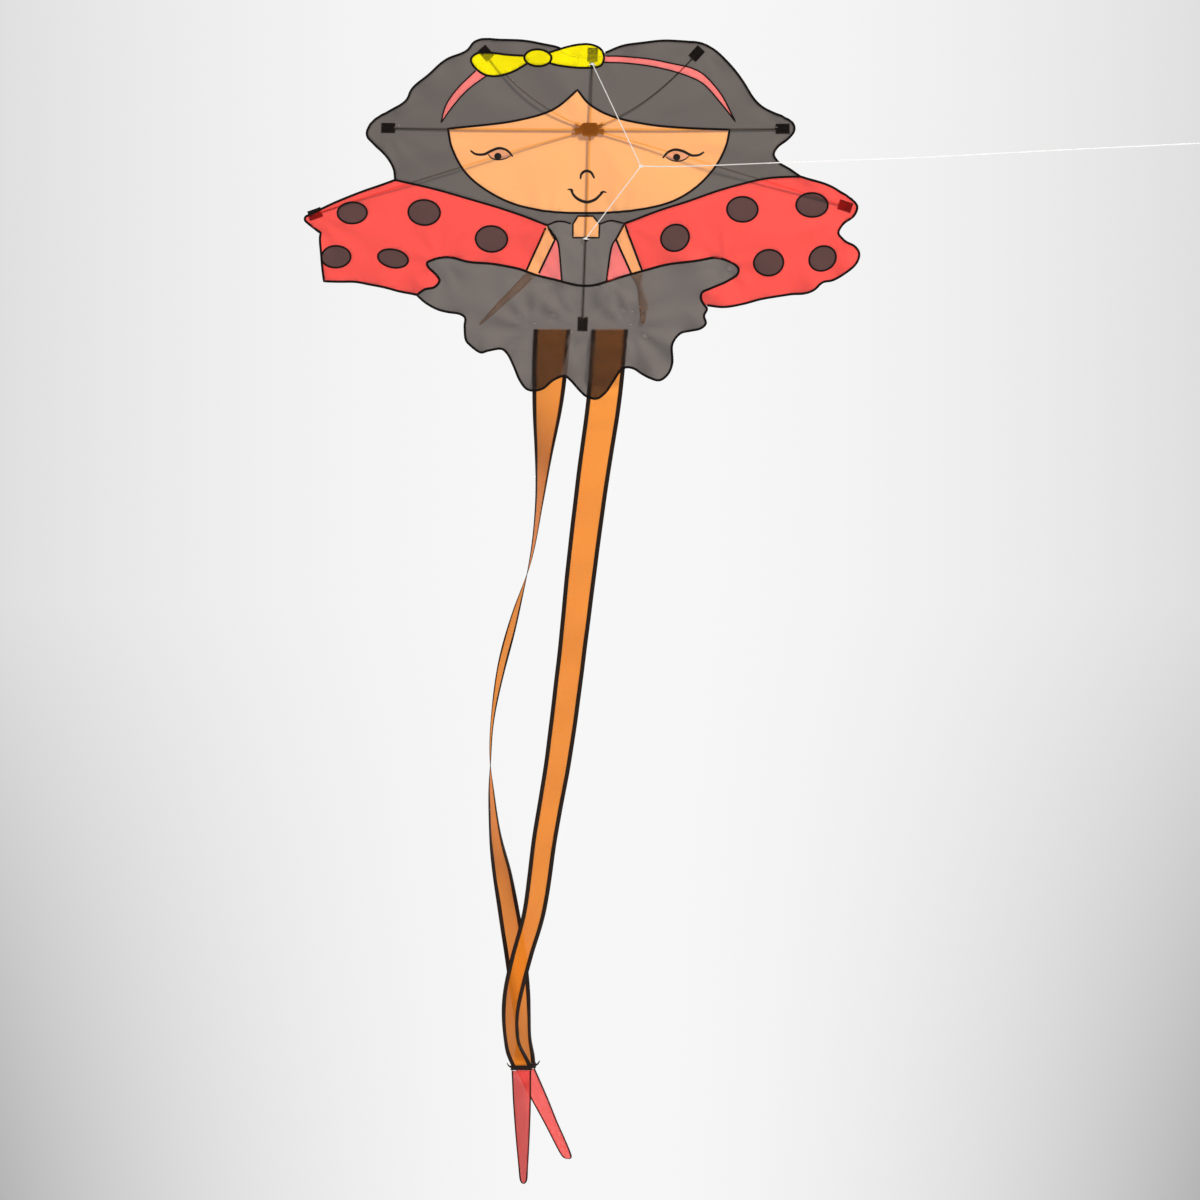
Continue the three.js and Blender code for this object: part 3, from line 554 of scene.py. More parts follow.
neck = straight([-24, -174], [6, -174], [19, -190], [18, -217], [-34, -217], [-34, -190])
bodice = outline(
  smooth([[-86, -191], [-62, -183], [-34, -190]]),
  smooth([[19, -190], [42, -183], [69, -188]]),
  smooth([[69, -188], [52, -219], [44, -233], [33, -304]]),
  waist[::-1],
  smooth([[-56, -304], [-63, -230], [-67, -219], [-86, -191]]))

arm_left = straight([-86, -191], [-70, -220], [-107, -299], [-134, -299])
arm_right = straight([69, -188], [52, -220], [87, -299], [110, -299])
gusset_left = straight([-66, -210], [-46, -316], [-120, -306])
gusset_right = straight([50, -210], [96, -302], [22, -316])

skirt = outline(
  smooth([[-347, -329], [-331, -317], [-311, -313], [-301, -301], [-307, -290], [-323, -274],
    [-327, -265], [-315, -258], [-284, -254], [-244, -263], [-185, -270], [-145, -278],
    [-106, -292], [-56, -304]]),
  waist,
  smooth([[33, -304], [103, -284], [160, -269], [218, -260], [254, -256], [283, -264],
    [297, -276], [295, -288], [275, -302], [242, -316], [224, -325], [222, -339], [228, -350]]),
  smooth([[228, -350], [234, -358], [228, -371], [232, -386], [222, -396], [201, -402],
    [181, -407], [169, -419], [164, -431], [164, -468], [156, -488], [140, -500], [120, -496],
    [103, -488], [87, -478], [71, -475], [60, -482], [44, -507], [30, -527], [13, -538],
    [-7, -533], [-19, -523], [-39, -501], [-50, -493], [-74, -501], [-94, -517], [-112, -522],
    [-126, -519], [-139, -503], [-153, -471], [-165, -448], [-177, -438], [-205, -441],
    [-218, -445], [-240, -430], [-248, -420], [-251, -392], [-250, -375], [-260, -368],
    [-284, -364], [-307, -357], [-331, -343], [-347, -329]]))

wing_left = outline(shoulder_left,
  smooth([[-390, -99], [-462, -123], [-505, -139], [-572, -169]]),
  smooth([[-572, -169], [-574, -175], [-564, -185], [-541, -203]]),
  smooth([[-541, -203], [-543, -214], [-541, -250], [-535, -299]]),
  smooth([[-535, -299], [-501, -300], [-473, -301], [-442, -307], [-410, -313], [-379, -322],
    [-346, -329]]),
  straight([-290, -340], [-115, -330], [-80, -208]))
wing_right = outline(shoulder_right,
  smooth([[422, -91], [467, -104], [503, -121], [528, -137], [537, -149], [530, -168],
    [507, -186], [499, -202], [511, -217], [532, -229], [541, -243], [536, -262], [511, -284],
    [487, -298], [467, -302], [450, -317], [430, -325], [401, -327], [348, -336], [307, -347],
    [267, -353], [234, -351]]),
  straight([200, -345], [95, -330], [62, -208]))

# Spots: centre, half width, half height, turn in degrees.
spots_left = [
  [[-477, -163], 30, 21, 0], [[-332, -164], 32, 25, -4], [[-197, -218], 32, 26, -6],
  [[-511, -250], 30, 22, 0], [[-395, -255], 31, 18, -12]]
spots_right = [
  [[170, -216], 29, 26, 30], [[305, -158], 31, 25, 0], [[445, -148], 32, 24, 0],
  [[358, -264], 30, 26, 10], [[467, -254], 28, 24, 30]]
print("outlines:", len(hair), "points round the hair,", len(skirt), "round the skirt")

# %% [markdown]
# ## Rods in their sockets
# Each rod leaves the hub along its socket's line and bends over to its pocket, as a thin fibre
# rod does. It stands a few millimetres behind the cloth. These routes are worked out before
# the cloth, because the wind presses the cloth back between them but never through them.

# %% Rod routes
SPAN = 1115
SWEEP = 45
HUB_FRONT = 14.7
ROD_DEPTH = -7
SOCKET_REACH = 30
SOCKET_FLOOR = 18
ROD_BEND = 0.45
ROD_STEP = 6
THICK, THIN = 4, 3
POCKET_PLAY = 3.0
FRONT_OF_POCKET = 0.7


def swept(x):
    """How far back the flat sail lies at x, in millimetres."""
    return SWEEP * (np.asarray(x) / (SPAN / 2)) ** 2 - HUB_FRONT


def pocket_middle(diameter):
    return FRONT_OF_POCKET + (diameter + POCKET_PLAY) / 2


def rod_route(tip, degrees, diameter, bow):
    """Points along a rod, in millimetres, from its socket's floor to its tip."""
    tip = np.array(tip, float)
    angle = math.radians(degrees)
    out = np.array([math.copysign(math.cos(angle), tip[0]), math.sin(angle)])
    mouth = out * SOCKET_REACH
    bend = mouth + out * np.linalg.norm(tip - mouth) * ROD_BEND
    share = np.linspace(0, 1, 11)[:, None]
    flat = (1 - share) ** 2 * mouth + 2 * share * (1 - share) * bend + share**2 * tip
    flat = np.vstack([out * SOCKET_FLOOR, flat])
    reach = np.minimum(1, np.linalg.norm(flat, axis=1) / np.linalg.norm(tip))
    reach[0] = 0
    depth = (swept(flat[:, 0]) + (ROD_DEPTH + HUB_FRONT) * (1 - reach)
             + pocket_middle(diameter) * reach + bow * np.sin(math.pi * reach) ** 2)
    return smooth_line(np.stack([flat[:, 0], depth, flat[:, 1]], 1), ROD_STEP)


# Each rod: where its tip is, its socket's slope in degrees, its diameter and how far it bows.
RODS = {"cross_rod_left": ((-414, 6), 0, THICK, 1), "cross_rod_right": ((396, 4), 0, THICK, 1),
        "upper_rod_left": ((-214, 160), 23, THIN, 8),
        "upper_rod_right": ((220, 159), 23, THIN, 8),
        "wing_rod_left": ((-562, -167), -15, THIN, 12),
        "wing_rod_right": ((522, -152), -15, THIN, 12)}
SPINE_TOP = 158
SPINE_FOOT = -399
HUB_HALF = 13
rod_routes = {name: rod_route(*rod) for name, rod in RODS.items()}


def spine_route():
    heights = [SPINE_TOP, SPINE_TOP / 2, HUB_HALF, 0, -HUB_HALF, SPINE_FOOT / 2, SPINE_FOOT]
    points = []
    for z in heights:
        share = min(1, max(0, (abs(z) - HUB_HALF) / (SPINE_TOP - HUB_HALF)))
        share = share * share * (3 - 2 * share)
        behind = -HUB_FRONT + pocket_middle(THICK)
        points.append((spine_x(z), ROD_DEPTH + (behind - ROD_DEPTH) * share, z))
    return smooth_line(points, ROD_STEP)


rod_routes["spine_rod"] = spine_route()
print({name: round(length_of(route)) for name, route in rod_routes.items()})

# %% [markdown]
# ## The shape of the cloth in the wind
# The depth of the cloth at any place is the sum of four things: the sweep of the whole sail,
# a shallow belly where no rod holds it, tension creases that spread from the points where it
# is pulled, and a flutter along its free hems. One function gives it, so a seam tape, a stitch
# or a printed line can be laid exactly on the cloth. A cloth simulation was the other way, but
# a sail that is sewn to seven rods barely moves, and the folds given here repeat exactly.

# %% Cloth depth
HIP_Z = -399
HIP_LINES = [[(-116, HIP_Z), (-34, HIP_Z)], [(0, HIP_Z), (80, HIP_Z)],
             [(-134, -288), (-100, -288)], [(78, -288), (110, -288)],
             [(-90, HIP_Z), (-100, -470)], [(40, HIP_Z), (22, -500)]]
BELLY = 9.0
BELLY_REACH = 60.0
ROD_GRIP = 22
FLUTTER = 5.0
FLUTTER_REACH = 24.0
CREASE = 1.7



def tree_of(places):
    """A tree that finds the nearest of some flat places."""
    tree = KDTree(len(places))
    for i, (x, z) in enumerate(places):
        tree.insert((x, z, 0), i)
    tree.balance()
    return tree


held = [route[:, [0, 2]] for route in rod_routes.values()]
held += [np.linspace(a, b, 16) for a, b in HIP_LINES]
held = np.vstack(held)
held_tree = tree_of(held)

free_edges = [hair_left, hair_right, wing_left[len(shoulder_left):-3],
              wing_right[len(shoulder_right):-3], skirt]
hem_points = np.vstack(free_edges)
hem_run = np.concatenate([run_along(edge) for edge in free_edges])
hem_tree = tree_of(hem_points)

# Where the cloth is pulled: place, height of the creases, how far they run, how many.
PULLS = [((-414, 6), 2.4, 80, 11), ((396, 4), 2.4, 80, 11), ((-214, 160), 1.6, 60, 9),
         ((220, 159), 1.6, 60, 9), ((-562, -167), 2.8, 95, 12), ((522, -152), 2.8, 95, 12),
         ((0, 158), 1.5, 50, 8), ((-15, -399), 3.0, 110, 13), ((-116, -396), 4.2, 95, 9),
         ((-34, -399), 3.0, 80, 9), ((80, -397), 4.2, 95, 9), ((-56, -304), 2.6, 70, 10),
         ((33, -304), 2.6, 70, 10), ((-80, -195), 1.8, 55, 9), ((66, -192), 1.8, 55, 9),
         ((-300, -262), 2.2, 70, 8), ((270, -262), 2.2, 70, 8)]


def cloth_depth(x, z):
    """How far back the cloth lies at one place, in millimetres."""
    gap = held_tree.find((x, z, 0))[2]
    free = 1 - math.exp(-((gap / BELLY_REACH) ** 2))
    near_rod = 1 - math.exp(-((gap / ROD_GRIP) ** 2))
    depth = float(swept(x)) + BELLY * free
    for (px, pz), height, run, count in PULLS:
        reach = math.hypot(x - px, z - pz)
        if reach < 4 * run:
            fan = math.atan2(z - pz, x - px)
            rise = (1 - math.exp(-reach / 14)) * math.exp(-reach / run)
            wobble = math.sin(count * fan + 0.012 * reach + px * 0.05)
            fold = abs(wobble) ** 1.4 * math.copysign(1, wobble)
            depth += CREASE * height * rise * fold * near_rod
    depth += near_rod * (1.2 * math.sin(x * 0.031 + z * 0.018 + 1.2 * math.sin(z * 0.021))
                         + 0.7 * math.sin(z * 0.052 - x * 0.023 + 2.0))
    _, nearest, hem_gap = hem_tree.find((x, z, 0))
    loose = near_rod * math.exp(-hem_gap / FLUTTER_REACH)
    low = 1.5 if z < -360 and abs(x) < 300 else 1.0
    depth += low * FLUTTER * loose * math.sin(hem_run[nearest] * 0.071 + 0.6 * math.sin(x * 0.02))
    return depth


def on_cloth(x, z, forward=0.0):
    """A point of the cloth in metres, moved forward of it by some millimetres."""
    return Vector((x * MM, (cloth_depth(x, z) - forward) * MM, z * MM))


print("depth at the face", round(cloth_depth(100, -60), 1), "mm")

# %% [markdown]
# ## Cutting the sail
# The whole sail is triangulated at once from every outline and a grid of points between them.
# Each triangle then goes to the panel that it lies in, the topmost first where panels overlap.
# Cutting one sheet keeps every seam shut, with the same points on both sides of it. A grid per
# panel was the other choice, and its edges would be stepped.

# %% One sheet, cut into panels
GRID = 8.5
SHEET_LEFT, SHEET_FOOT = -585, -545
SHEET_WIDTH, SHEET_HEIGHT = 1160, 740
PANELS = {"bow_knot": bow_knot, "bow_left_loop": bow_left, "bow_right_loop": bow_right,
          "headband_left": headband_left, "headband_right": headband_right,
          "face_panel": face, "neck_panel": neck, "bodice_panel": bodice, "skirt_panel": skirt,
          "arm_panel_left": arm_left, "arm_panel_right": arm_right}
spot_outlines = {}
for side, spots in (("left", spots_left), ("right", spots_right)):
    for number, spot in enumerate(spots, 1):
        spot_outlines[f"spot_{side}_{number}"] = oval(*spot)
PANELS = {**PANELS, **spot_outlines, "gusset_left": gusset_left, "gusset_right": gusset_right,
          "wing_left": wing_left, "wing_right": wing_right, "hair_panel": hair}
SLOT_OF = {"bow": "bow_cloth", "headband": "band_cloth", "face": "skin_cloth",
           "neck": "skin_cloth", "bodice": "dress_cloth", "skirt": "dress_cloth",
           "arm": "arm_cloth", "spot": "spot_cloth", "gusset": "wing_cloth",
           "wing": "wing_cloth", "hair": "hair_cloth"}


def inside(points, edge):
    """Which points lie inside an outline, by counting the edges that a ray crosses."""
    x, z = points[:, 0][:, None], points[:, 1][:, None]
    ax, az = edge[:, 0], edge[:, 1]
    bx, bz = np.roll(ax, -1), np.roll(az, -1)
    rise = np.where(bz == az, 1e-9, bz - az)
    crosses = ((az > z) != (bz > z)) & (x < (bx - ax) * (z - az) / rise + ax)
    return crosses.sum(1) % 2 == 1


def filled_in(edge):
    """The outline with points added along its long straight runs."""
    points = []
    for a, b in zip(edge, np.roll(edge, -1, 0)):
        count = max(1, math.ceil(np.linalg.norm(b - a) / (CLOTH_STEP * 1.4)))
        points += [a + (b - a) * k / count for k in range(count)]
    return np.array(points)


PANELS = {name: filled_in(edge) for name, edge in PANELS.items()}
points, edges = [], []
for edge in PANELS.values():
    first = len(points)
    points += [tuple(p) for p in edge]
    edges += [(first + k, first + (k + 1) % len(edge)) for k in range(len(edge))]
edge_tree = tree_of(points)
for row in range(int(SHEET_HEIGHT / GRID)):
    for column in range(int(SHEET_WIDTH / GRID)):
        x = SHEET_LEFT + column * GRID + (row % 2) * GRID / 2
        z = SHEET_FOOT + row * GRID
        if edge_tree.find((x, z, 0))[2] > GRID * 0.45:
            points.append((x, z))
spread, _, triangles, *_ = delaunay_2d_cdt([Vector(p) for p in points], edges, [], 0, 0.01)
spread = np.array([tuple(p) for p in spread])
triangles = np.array([t for t in triangles if len(t) == 3])
middles = spread[triangles].mean(1)
owner = np.full(len(triangles), -1)
names = list(PANELS)
for number, name in enumerate(names):
    covered = inside(middles, PANELS[name]) & (owner < 0)
    if name.startswith("spot_"):
        covered &= inside(middles, PANELS["wing_" + name.split("_")[1]])
    owner[covered] = number
print("sheet:", len(spread), "points,", int((owner >= 0).sum()), "triangles")

# %% [markdown]
# ## Panels of cloth
# A panel is its triangles, put at the cloth's depth, with a thin Solidify so that it has an
# edge. Its flat size is the smallest rectangle that it can be cut from. Its UV map is its own
# flat pattern in metres, so the woven grid has the right size on every panel.

# %% Make the panels
SHEET_THICKNESS = 0.0003


def finish_piece(name, shape, slot, thickness=0.0, material=None, even=True):
    """Links a bmesh as a smooth piece with its finish and, if asked, a wall."""
    mesh = bpy.data.meshes.new(name)
    shape.to_mesh(mesh)
    shape.free()
    for face_of_mesh in mesh.polygons:
        face_of_mesh.use_smooth = True
    piece = bpy.data.objects.new(name, mesh)
    bpy.context.scene.collection.objects.link(piece)
    mesh.materials.append(FINISHES[material or slot])
    if thickness:
        wall = piece.modifiers.new("wall", "SOLIDIFY")
        wall.thickness = thickness
        wall.offset = 0
        wall.use_even_offset = even
    return piece


def smallest_rectangle(edge):
    """Width and length of the smallest rectangle round an outline, in metres."""
    best = None
    for degrees in range(0, 90, 3):
        turn = math.radians(degrees)
        u = edge[:, 0] * math.cos(turn) + edge[:, 1] * math.sin(turn)
        v = edge[:, 1] * math.cos(turn) - edge[:, 0] * math.sin(turn)
        size = (float(np.ptp(u)), float(np.ptp(v)))
        if best is None or size[0] * size[1] < best[0] * best[1]:
            best = size
    return max(best[0] * MM, 0.012), max(best[1] * MM, 0.012)


depth_cache = {}


def sheet_point(index):
    if index not in depth_cache:
        x, z = spread[index]
        depth_cache[index] = on_cloth(x, z)
    return depth_cache[index]


panel_pieces, panel_sizes = {}, {}
for number, name in enumerate(names):
    own = triangles[owner == number]
    shape = bmesh.new()
    flat_map = shape.loops.layers.uv.new("UVMap")
    verts = {i: shape.verts.new(sheet_point(i)) for i in sorted(set(own.ravel().tolist()))}
    for a, b, c in own.tolist():
        made = shape.faces.new((verts[a], verts[b], verts[c]))
        for loop in made.loops:
            loop[flat_map].uv = (loop.vert.co.x, loop.vert.co.z)
    bmesh.ops.recalc_face_normals(shape, faces=shape.faces)
    area = sum(f.calc_area() for f in shape.faces)
    slot = SLOT_OF[name.split("_")[0]]
    kind = "gusset_cloth" if name.startswith("gusset") else slot
    piece = finish_piece(name + "_cloth", shape, slot, SHEET_THICKNESS, kind, even=False)
    used = spread[np.unique(own)]
    width, length = smallest_rectangle(used)
    panel_pieces[name] = piece
    panel_sizes[name] = (width, length, min(area, width * length))
print("panels:", len(panel_pieces))

# %% [markdown]
# ## Bindings
# Every raw edge of a kite sail is folded into a narrow dark tape, and the same tape covers the
# seams where two panels meet, on both faces. A binding is a strip whose points follow the
# outline on the cloth, a little proud of it in front and behind. The strip is three rows
# of points side by side, and Solidify gives it its wall.

# %% Strips that follow the cloth


def strip(name, places, across, slot, thickness, closed=False, material=None):
    """A narrow strip. places are its middle points and across its sideways vectors."""
    shape = bmesh.new()
    tape_map = shape.loops.layers.uv.new("UVMap")
    rows = [[shape.verts.new(p + a * share) for p, a in zip(places, across)]
            for share in (-1, 0, 1)]
    run = [0.0]
    for a, b in zip(places, places[1:] + (places[:1] if closed else [])):
        run.append(run[-1] + (b - a).length)
    half = across[0].length
    last = len(places) if closed else len(places) - 1
    for k in range(2):
        for i in range(last):
            j = (i + 1) % len(places)
            made = shape.faces.new((rows[k][i], rows[k][j], rows[k + 1][j], rows[k + 1][i]))
            corners = ((run[i], k * half), (run[i + 1], k * half),
                       (run[i + 1], (k + 1) * half), (run[i], (k + 1) * half))
            for loop, uv in zip(made.loops, corners):
                loop[tape_map].uv = uv
    return finish_piece(name, shape, slot, thickness, material, even=False)


def lay_tape(name, route, width, slot="pocket_tape", thickness=0.0012, closed=False,
             forward=0.0, material="seam_tape", taper=None):
    """A strip laid along a route over the cloth. Sizes in millimetres, thickness in metres."""
    route = np.array(route, float)
    if closed:
        heading = np.roll(route, -1, 0) - np.roll(route, 1, 0)
    else:
        heading = np.gradient(route, axis=0)
    heading /= np.maximum(np.linalg.norm(heading, axis=1), 1e-9)[:, None]
    places, across = [], []
    for i, ((x, z), (hx, hz)) in enumerate(zip(route, heading)):
        half = width / 2 * (taper(i / max(1, len(route) - 1)) if taper else 1)
        a = on_cloth(x - hz * half, z + hx * half, forward)
        b = on_cloth(x + hz * half, z - hx * half, forward)
        places.append((a + b) / 2)
        across.append((a - b) / 2)
    return strip(name, places, across, slot, thickness, closed, material)


SEAM_WIDTH = 4.2
HEM_WIDTH = 4.6
bindings = {
    "hair_hem": (np.vstack([hair_left, hair_right[1:]]), HEM_WIDTH, False, "hair_panel"),
    "face_binding": (face, SEAM_WIDTH, True, "face_panel"),
    "neck_binding": (filled_in(neck), 3.0, True, "neck_panel"),
    "bow_knot_binding": (bow_knot, SEAM_WIDTH, True, "bow_knot"),
    "bow_left_binding": (bow_left, SEAM_WIDTH, True, "bow_left_loop"),
    "bow_right_binding": (bow_right, SEAM_WIDTH, True, "bow_right_loop"),
    "headband_left_binding": (headband_left, 2.6, True, "headband_left"),
    "headband_right_binding": (headband_right, 2.6, True, "headband_right"),
    "bodice_binding": (filled_in(bodice), 3.2, True, "bodice_panel"),
    "arm_left_binding": (filled_in(arm_left), 4.0, True, "arm_panel_left"),
    "arm_right_binding": (filled_in(arm_right), 4.0, True, "arm_panel_right"),
    "shoulder_left_seam": (shoulder_left, SEAM_WIDTH, False, "wing_left"),
    "shoulder_right_seam": (shoulder_right, SEAM_WIDTH, False, "wing_right"),
    "wing_left_hem": (wing_left[len(shoulder_left) - 1:-3], HEM_WIDTH, False, "wing_left"),
    "wing_right_hem": (wing_right[len(shoulder_right) - 1:-3], HEM_WIDTH, False, "wing_right"),
    "skirt_hem": (skirt, HEM_WIDTH, True, "skirt_panel"),
}
COVERS = {"bow_left_loop": ["bow_knot"], "bow_right_loop": ["bow_knot"],
          "headband_left": ["bow_left_loop"], "headband_right": ["bow_right_loop"],
          "neck_panel": ["face_panel"], "bodice_panel": ["neck_panel"],
          "arm_panel_left": ["bodice_panel", "skirt_panel"],
          "arm_panel_right": ["bodice_panel", "skirt_panel"],
          "wing_left": ["arm_panel_left"], "wing_right": ["arm_panel_right"],
          "hair_panel": ["bow_left_loop", "bow_right_loop"]}


def uncovered_runs(route, closed, covers):
    """The stretches of a route that no other panel lies over, each with whether it closes."""
    hidden = np.zeros(len(route), bool)
    for cover in covers:
        hidden |= inside(route, PANELS[cover])
    if not hidden.any():
        return [(route, closed)]
    if closed:
        first = int(np.argmax(hidden))
        route, hidden = np.roll(route, -first, 0), np.roll(hidden, -first)
    runs, run = [], []
    for place, covered in zip(route, hidden):
        if not covered:
            run.append(place)
        elif run:
            runs.append(run)
            run = []
    runs.append(run)
    return [(np.array(run), False) for run in runs if len(run) > 3]


tapes = {name: [] for name in PANELS}
for name, (route, width, closed, panel) in bindings.items():
    runs = uncovered_runs(route, closed, COVERS.get(panel, []))
    for number, (run, whole) in enumerate(runs, 1):
        piece_name = name if len(runs) == 1 else f"{name}_{number}"
        tapes[panel].append(lay_tape(piece_name, run, width, closed=whole))
for name, edge in spot_outlines.items():
    wing = PANELS["wing_" + name.split("_")[1]]
    edge = edge[inside(edge, wing)]
    gap = np.linalg.norm(edge - np.roll(edge, -1, 0), axis=1)
    whole = gap.max() < 3 * CLOTH_STEP
    if not whole:
        edge = np.roll(edge, -(int(gap.argmax()) + 1), 0)
    tapes[name].append(lay_tape(name + "_binding", edge, 3.4, closed=whole))
print("bindings:", sum(len(group) for group in tapes.values()))

# %% [markdown]
# ## The face
# The doll's face is printed and stitched on its panel: two lashes over half-closed eyes, a
# short nose and a smile. Each line is a tape with pointed ends, laid on the front of the cloth.
# An eye's white and pupil are small patches: an outline filled by one operator.

# %% Face lines and patches


def pointed(share):
    """Full width in the middle, narrow at both ends."""
    return 0.5 + 0.5 * math.sin(math.pi * share) ** 0.5


def patch(name, edge, slot, material, forward, thickness=0.0004):
    """A flat shape laid on the cloth."""
    shape = bmesh.new()
    ring = [shape.verts.new(on_cloth(x, z, forward)) for x, z in edge]
    rim = [shape.edges.new((a, b)) for a, b in zip(ring, ring[1:] + ring[:1])]
    bmesh.ops.triangle_fill(shape, use_beauty=True, edges=rim)
    bmesh.ops.subdivide_edges(shape, edges=shape.edges[:], cuts=1)
    for vert in shape.verts:
        vert.co = on_cloth(vert.co.x / MM, vert.co.z / MM, forward)
    bmesh.ops.recalc_face_normals(shape, faces=shape.faces)
    return finish_piece(name, shape, slot, thickness, material, even=False)


FACE_LINES = {
    "lash_left": ([(-239, -42), (-229, -49), (-212, -50), (-197, -43), (-181, -38),
                   (-165, -43), (-154, -55)], 5.4),
    "lash_right": ([(145, -58), (156, -46), (170, -41), (186, -44), (203, -52), (218, -51),
                    (228, -45)], 5.4),
    "lid_left": ([(-205, -48), (-196, -58), (-182, -61), (-167, -58), (-158, -53)], 2.6),
    "lid_right": ([(152, -56), (160, -61), (174, -64), (190, -60), (199, -52)], 2.6),
    "nose_line": ([(-19, -100), (-17, -90), (-8, -84), (2, -87), (9, -99)], 5.4),
    "mouth_line": ([(-39, -120), (-30, -135), (-16, -144), (-4, -146), (10, -141), (20, -132),
                    (27, -125)], 6.0),
    "mouth_corner_left": ([(-45, -121), (-38, -120), (-33, -124)], 3.2),
    "mouth_corner_right": ([(20, -128), (26, -125), (33, -127)], 3.2),
}
for name, (points, width) in FACE_LINES.items():
    tapes["face_panel"].append(lay_tape(name, smooth_line(points, 2.0), width,
                                        thickness=0.0005, forward=0.5, taper=pointed,
                                        material="print_ink"))
for side, white, pupil in (
        ("left", [(-203, -47), (-181, -41), (-159, -53), (-168, -58), (-182, -61), (-196, -57)],
         (-184, -54)),
        ("right", [(150, -55), (170, -44), (198, -52), (190, -60), (174, -63), (160, -60)],
         (173, -56))):
    white_edge = smooth_line(white, 3.0, closed=True)[:-1]
    tapes["face_panel"].append(patch(f"eye_white_{side}", white_edge, "skin_cloth",
                                     "print_pink", 0.35))
    tapes["face_panel"].append(patch(f"pupil_{side}", oval(pupil, 7.5, 7.0, 0), "spot_cloth",
                                     "print_ink", 0.7))
print("face pieces:", len(tapes["face_panel"]))

# %% [markdown]
# ## Stitches
# A sail is sewn with a lock stitch, about three millimetres long, just inside each binding.
# Each stitch is one short raised bar of thread, so a row is a few hundred tiny boxes in one
# mesh, each stretched from the same cube.

# %% Rows of stitches
STITCH = 3.2
STITCH_GAP = 2.0


def stitch_row(name, routes, panel, thread=0.45, material="stitch_thread"):
    """Rows of stitches on the front of the cloth."""
    shape = bmesh.new()
    for route in routes:
        run = run_along(route)
        for start in np.arange(0, run[-1] - STITCH, STITCH + STITCH_GAP):
            ends = [np.array([np.interp(start + d, run, route[:, k]) for k in range(2)])
                    for d in (0, STITCH)]
            a, b = (on_cloth(x, z, 0.75) for x, z in ends)
            along = b - a
            turned = along.to_track_quat("X", "Y").to_matrix().to_4x4()
            turned.translation = (a + b) / 2
            bar = bmesh.ops.create_cube(shape, size=1)["verts"]
            bmesh.ops.scale(shape, verts=bar,
                            vec=(along.length, thread * MM, thread * MM))
            bmesh.ops.transform(shape, verts=bar, matrix=turned)
    tapes[panel].append(finish_piece(name, shape, "cord_braid", 0, material))


def inset_route(edge, distance):
    """An outline moved sideways."""
    heading = np.gradient(edge, axis=0)
    heading /= np.maximum(np.linalg.norm(heading, axis=1), 1e-9)[:, None]
    return edge + np.stack([heading[:, 1], -heading[:, 0]], 1) * distance


for panel, route in (("hair_panel", np.vstack([hair_left, hair_right[1:]])),
                     ("wing_left", shoulder_left), ("wing_right", shoulder_right)):
    stitch_row(panel + "_stitches", [inset_route(route, 4.2)], panel,
               material="dark_thread")
TACKS = [(-112, -389), (-38, -406), (80, -391), (83, -365), (97, -354), (-116, -296),
         (-384, 10), (372, 6)]
TACK = 4.5
stitch_row("skirt_bar_tacks", [np.array([(x, z), (x + TACK, z + 1.5)]) for x, z in TACKS],
           "skirt_panel", 0.7)
print("stitched rows:", 3, "and", len(TACKS), "bar tacks")

# %% [markdown]
# ## Ribbons that hang
# The legs are long doubled ribbons with a dark binding down both edges, and the wind twists
# them. A ribbon is a flat grid whose rows are moved to stations down the leg. Every row has
# its own centre, width and turn, so one grid gives the twist. A curve with a flat bevel would
# twist too, but it could not narrow and carry separate bindings.

# %% Ribbon helper
HIP_REACH = 115
LEG_LENGTH = 1470
LEG_WIDTH = 73
ANKLE_WIDTH = 40
BEHIND_SKIRT = float(swept(HIP_REACH)) + 1.6


def stations_along(stations, count):
    """Evenly spaced (share, x, y, turn, ...) rows through the given stations."""
    return smooth_line(stations, length_of(stations) / count)


def ribbon_rows(rows, edges):
    """Points across each row. A row is centre x, y, z, width, turn; edges are shares."""
    made = []
    for x, y, z, width, turn in rows:
        side = Vector((math.cos(turn), math.sin(turn), 0)) * (width / 2)
        made.append([(Vector((x, y, z)) + side * share) * MM for share in edges])
    return made


def grid_piece(name, rows, slot, thickness, material=None):
    """A grid laid on rows of points, with a flat UV map in metres."""
    down, across = len(rows), len(rows[0])
    shape = bmesh.new()
    flat_map = shape.loops.layers.uv.new("UVMap")
    bmesh.ops.create_grid(shape, x_segments=across - 1, y_segments=down - 1, size=1)
    shape.verts.ensure_lookup_table()
    order = sorted(shape.verts, key=lambda v: (round(v.co.y, 5), round(v.co.x, 5)))
    flat = {}
    run = 0.0
    for i, row in enumerate(rows):
        if i:
            run += (row[across // 2] - rows[i - 1][across // 2]).length
        wide = 0.0
        for k, place in enumerate(row):
            if k:
                wide += (place - row[k - 1]).length
            vert = order[i * across + k]
            vert.co = place
            flat[vert] = (wide, run)
    for made in shape.faces:
        for loop in made.loops:
            loop[flat_map].uv = flat[loop.vert]
    bmesh.ops.recalc_face_normals(shape, faces=shape.faces)
    return finish_piece(name, shape, slot, thickness, material, even=False)


def side_strips(name, laid, kind, half, inset, slot, thickness, material):
    """A strip down each long edge of a ribbon, set in by a share of its half width."""
    made = []
    for tag, edge, inner in (("outer", 0, 1), ("inner", -1, -2)):
        across = [(row[inner] - row[edge]).normalized() * half for row in laid]
        places = [row[edge] + way * inset for row, way in zip(laid, across)]
        made.append(strip(f"{name}_{tag}_{kind}", places, across, slot, thickness,
                          material=material))
    return made


def flat_area(rows):
    """The area of the ribbon laid out flat, in square metres."""
    return sum((row[-1] - row[0]).length * (row[len(row) // 2] - up[len(up) // 2]).length
               for up, row in zip(rows, rows[1:]))


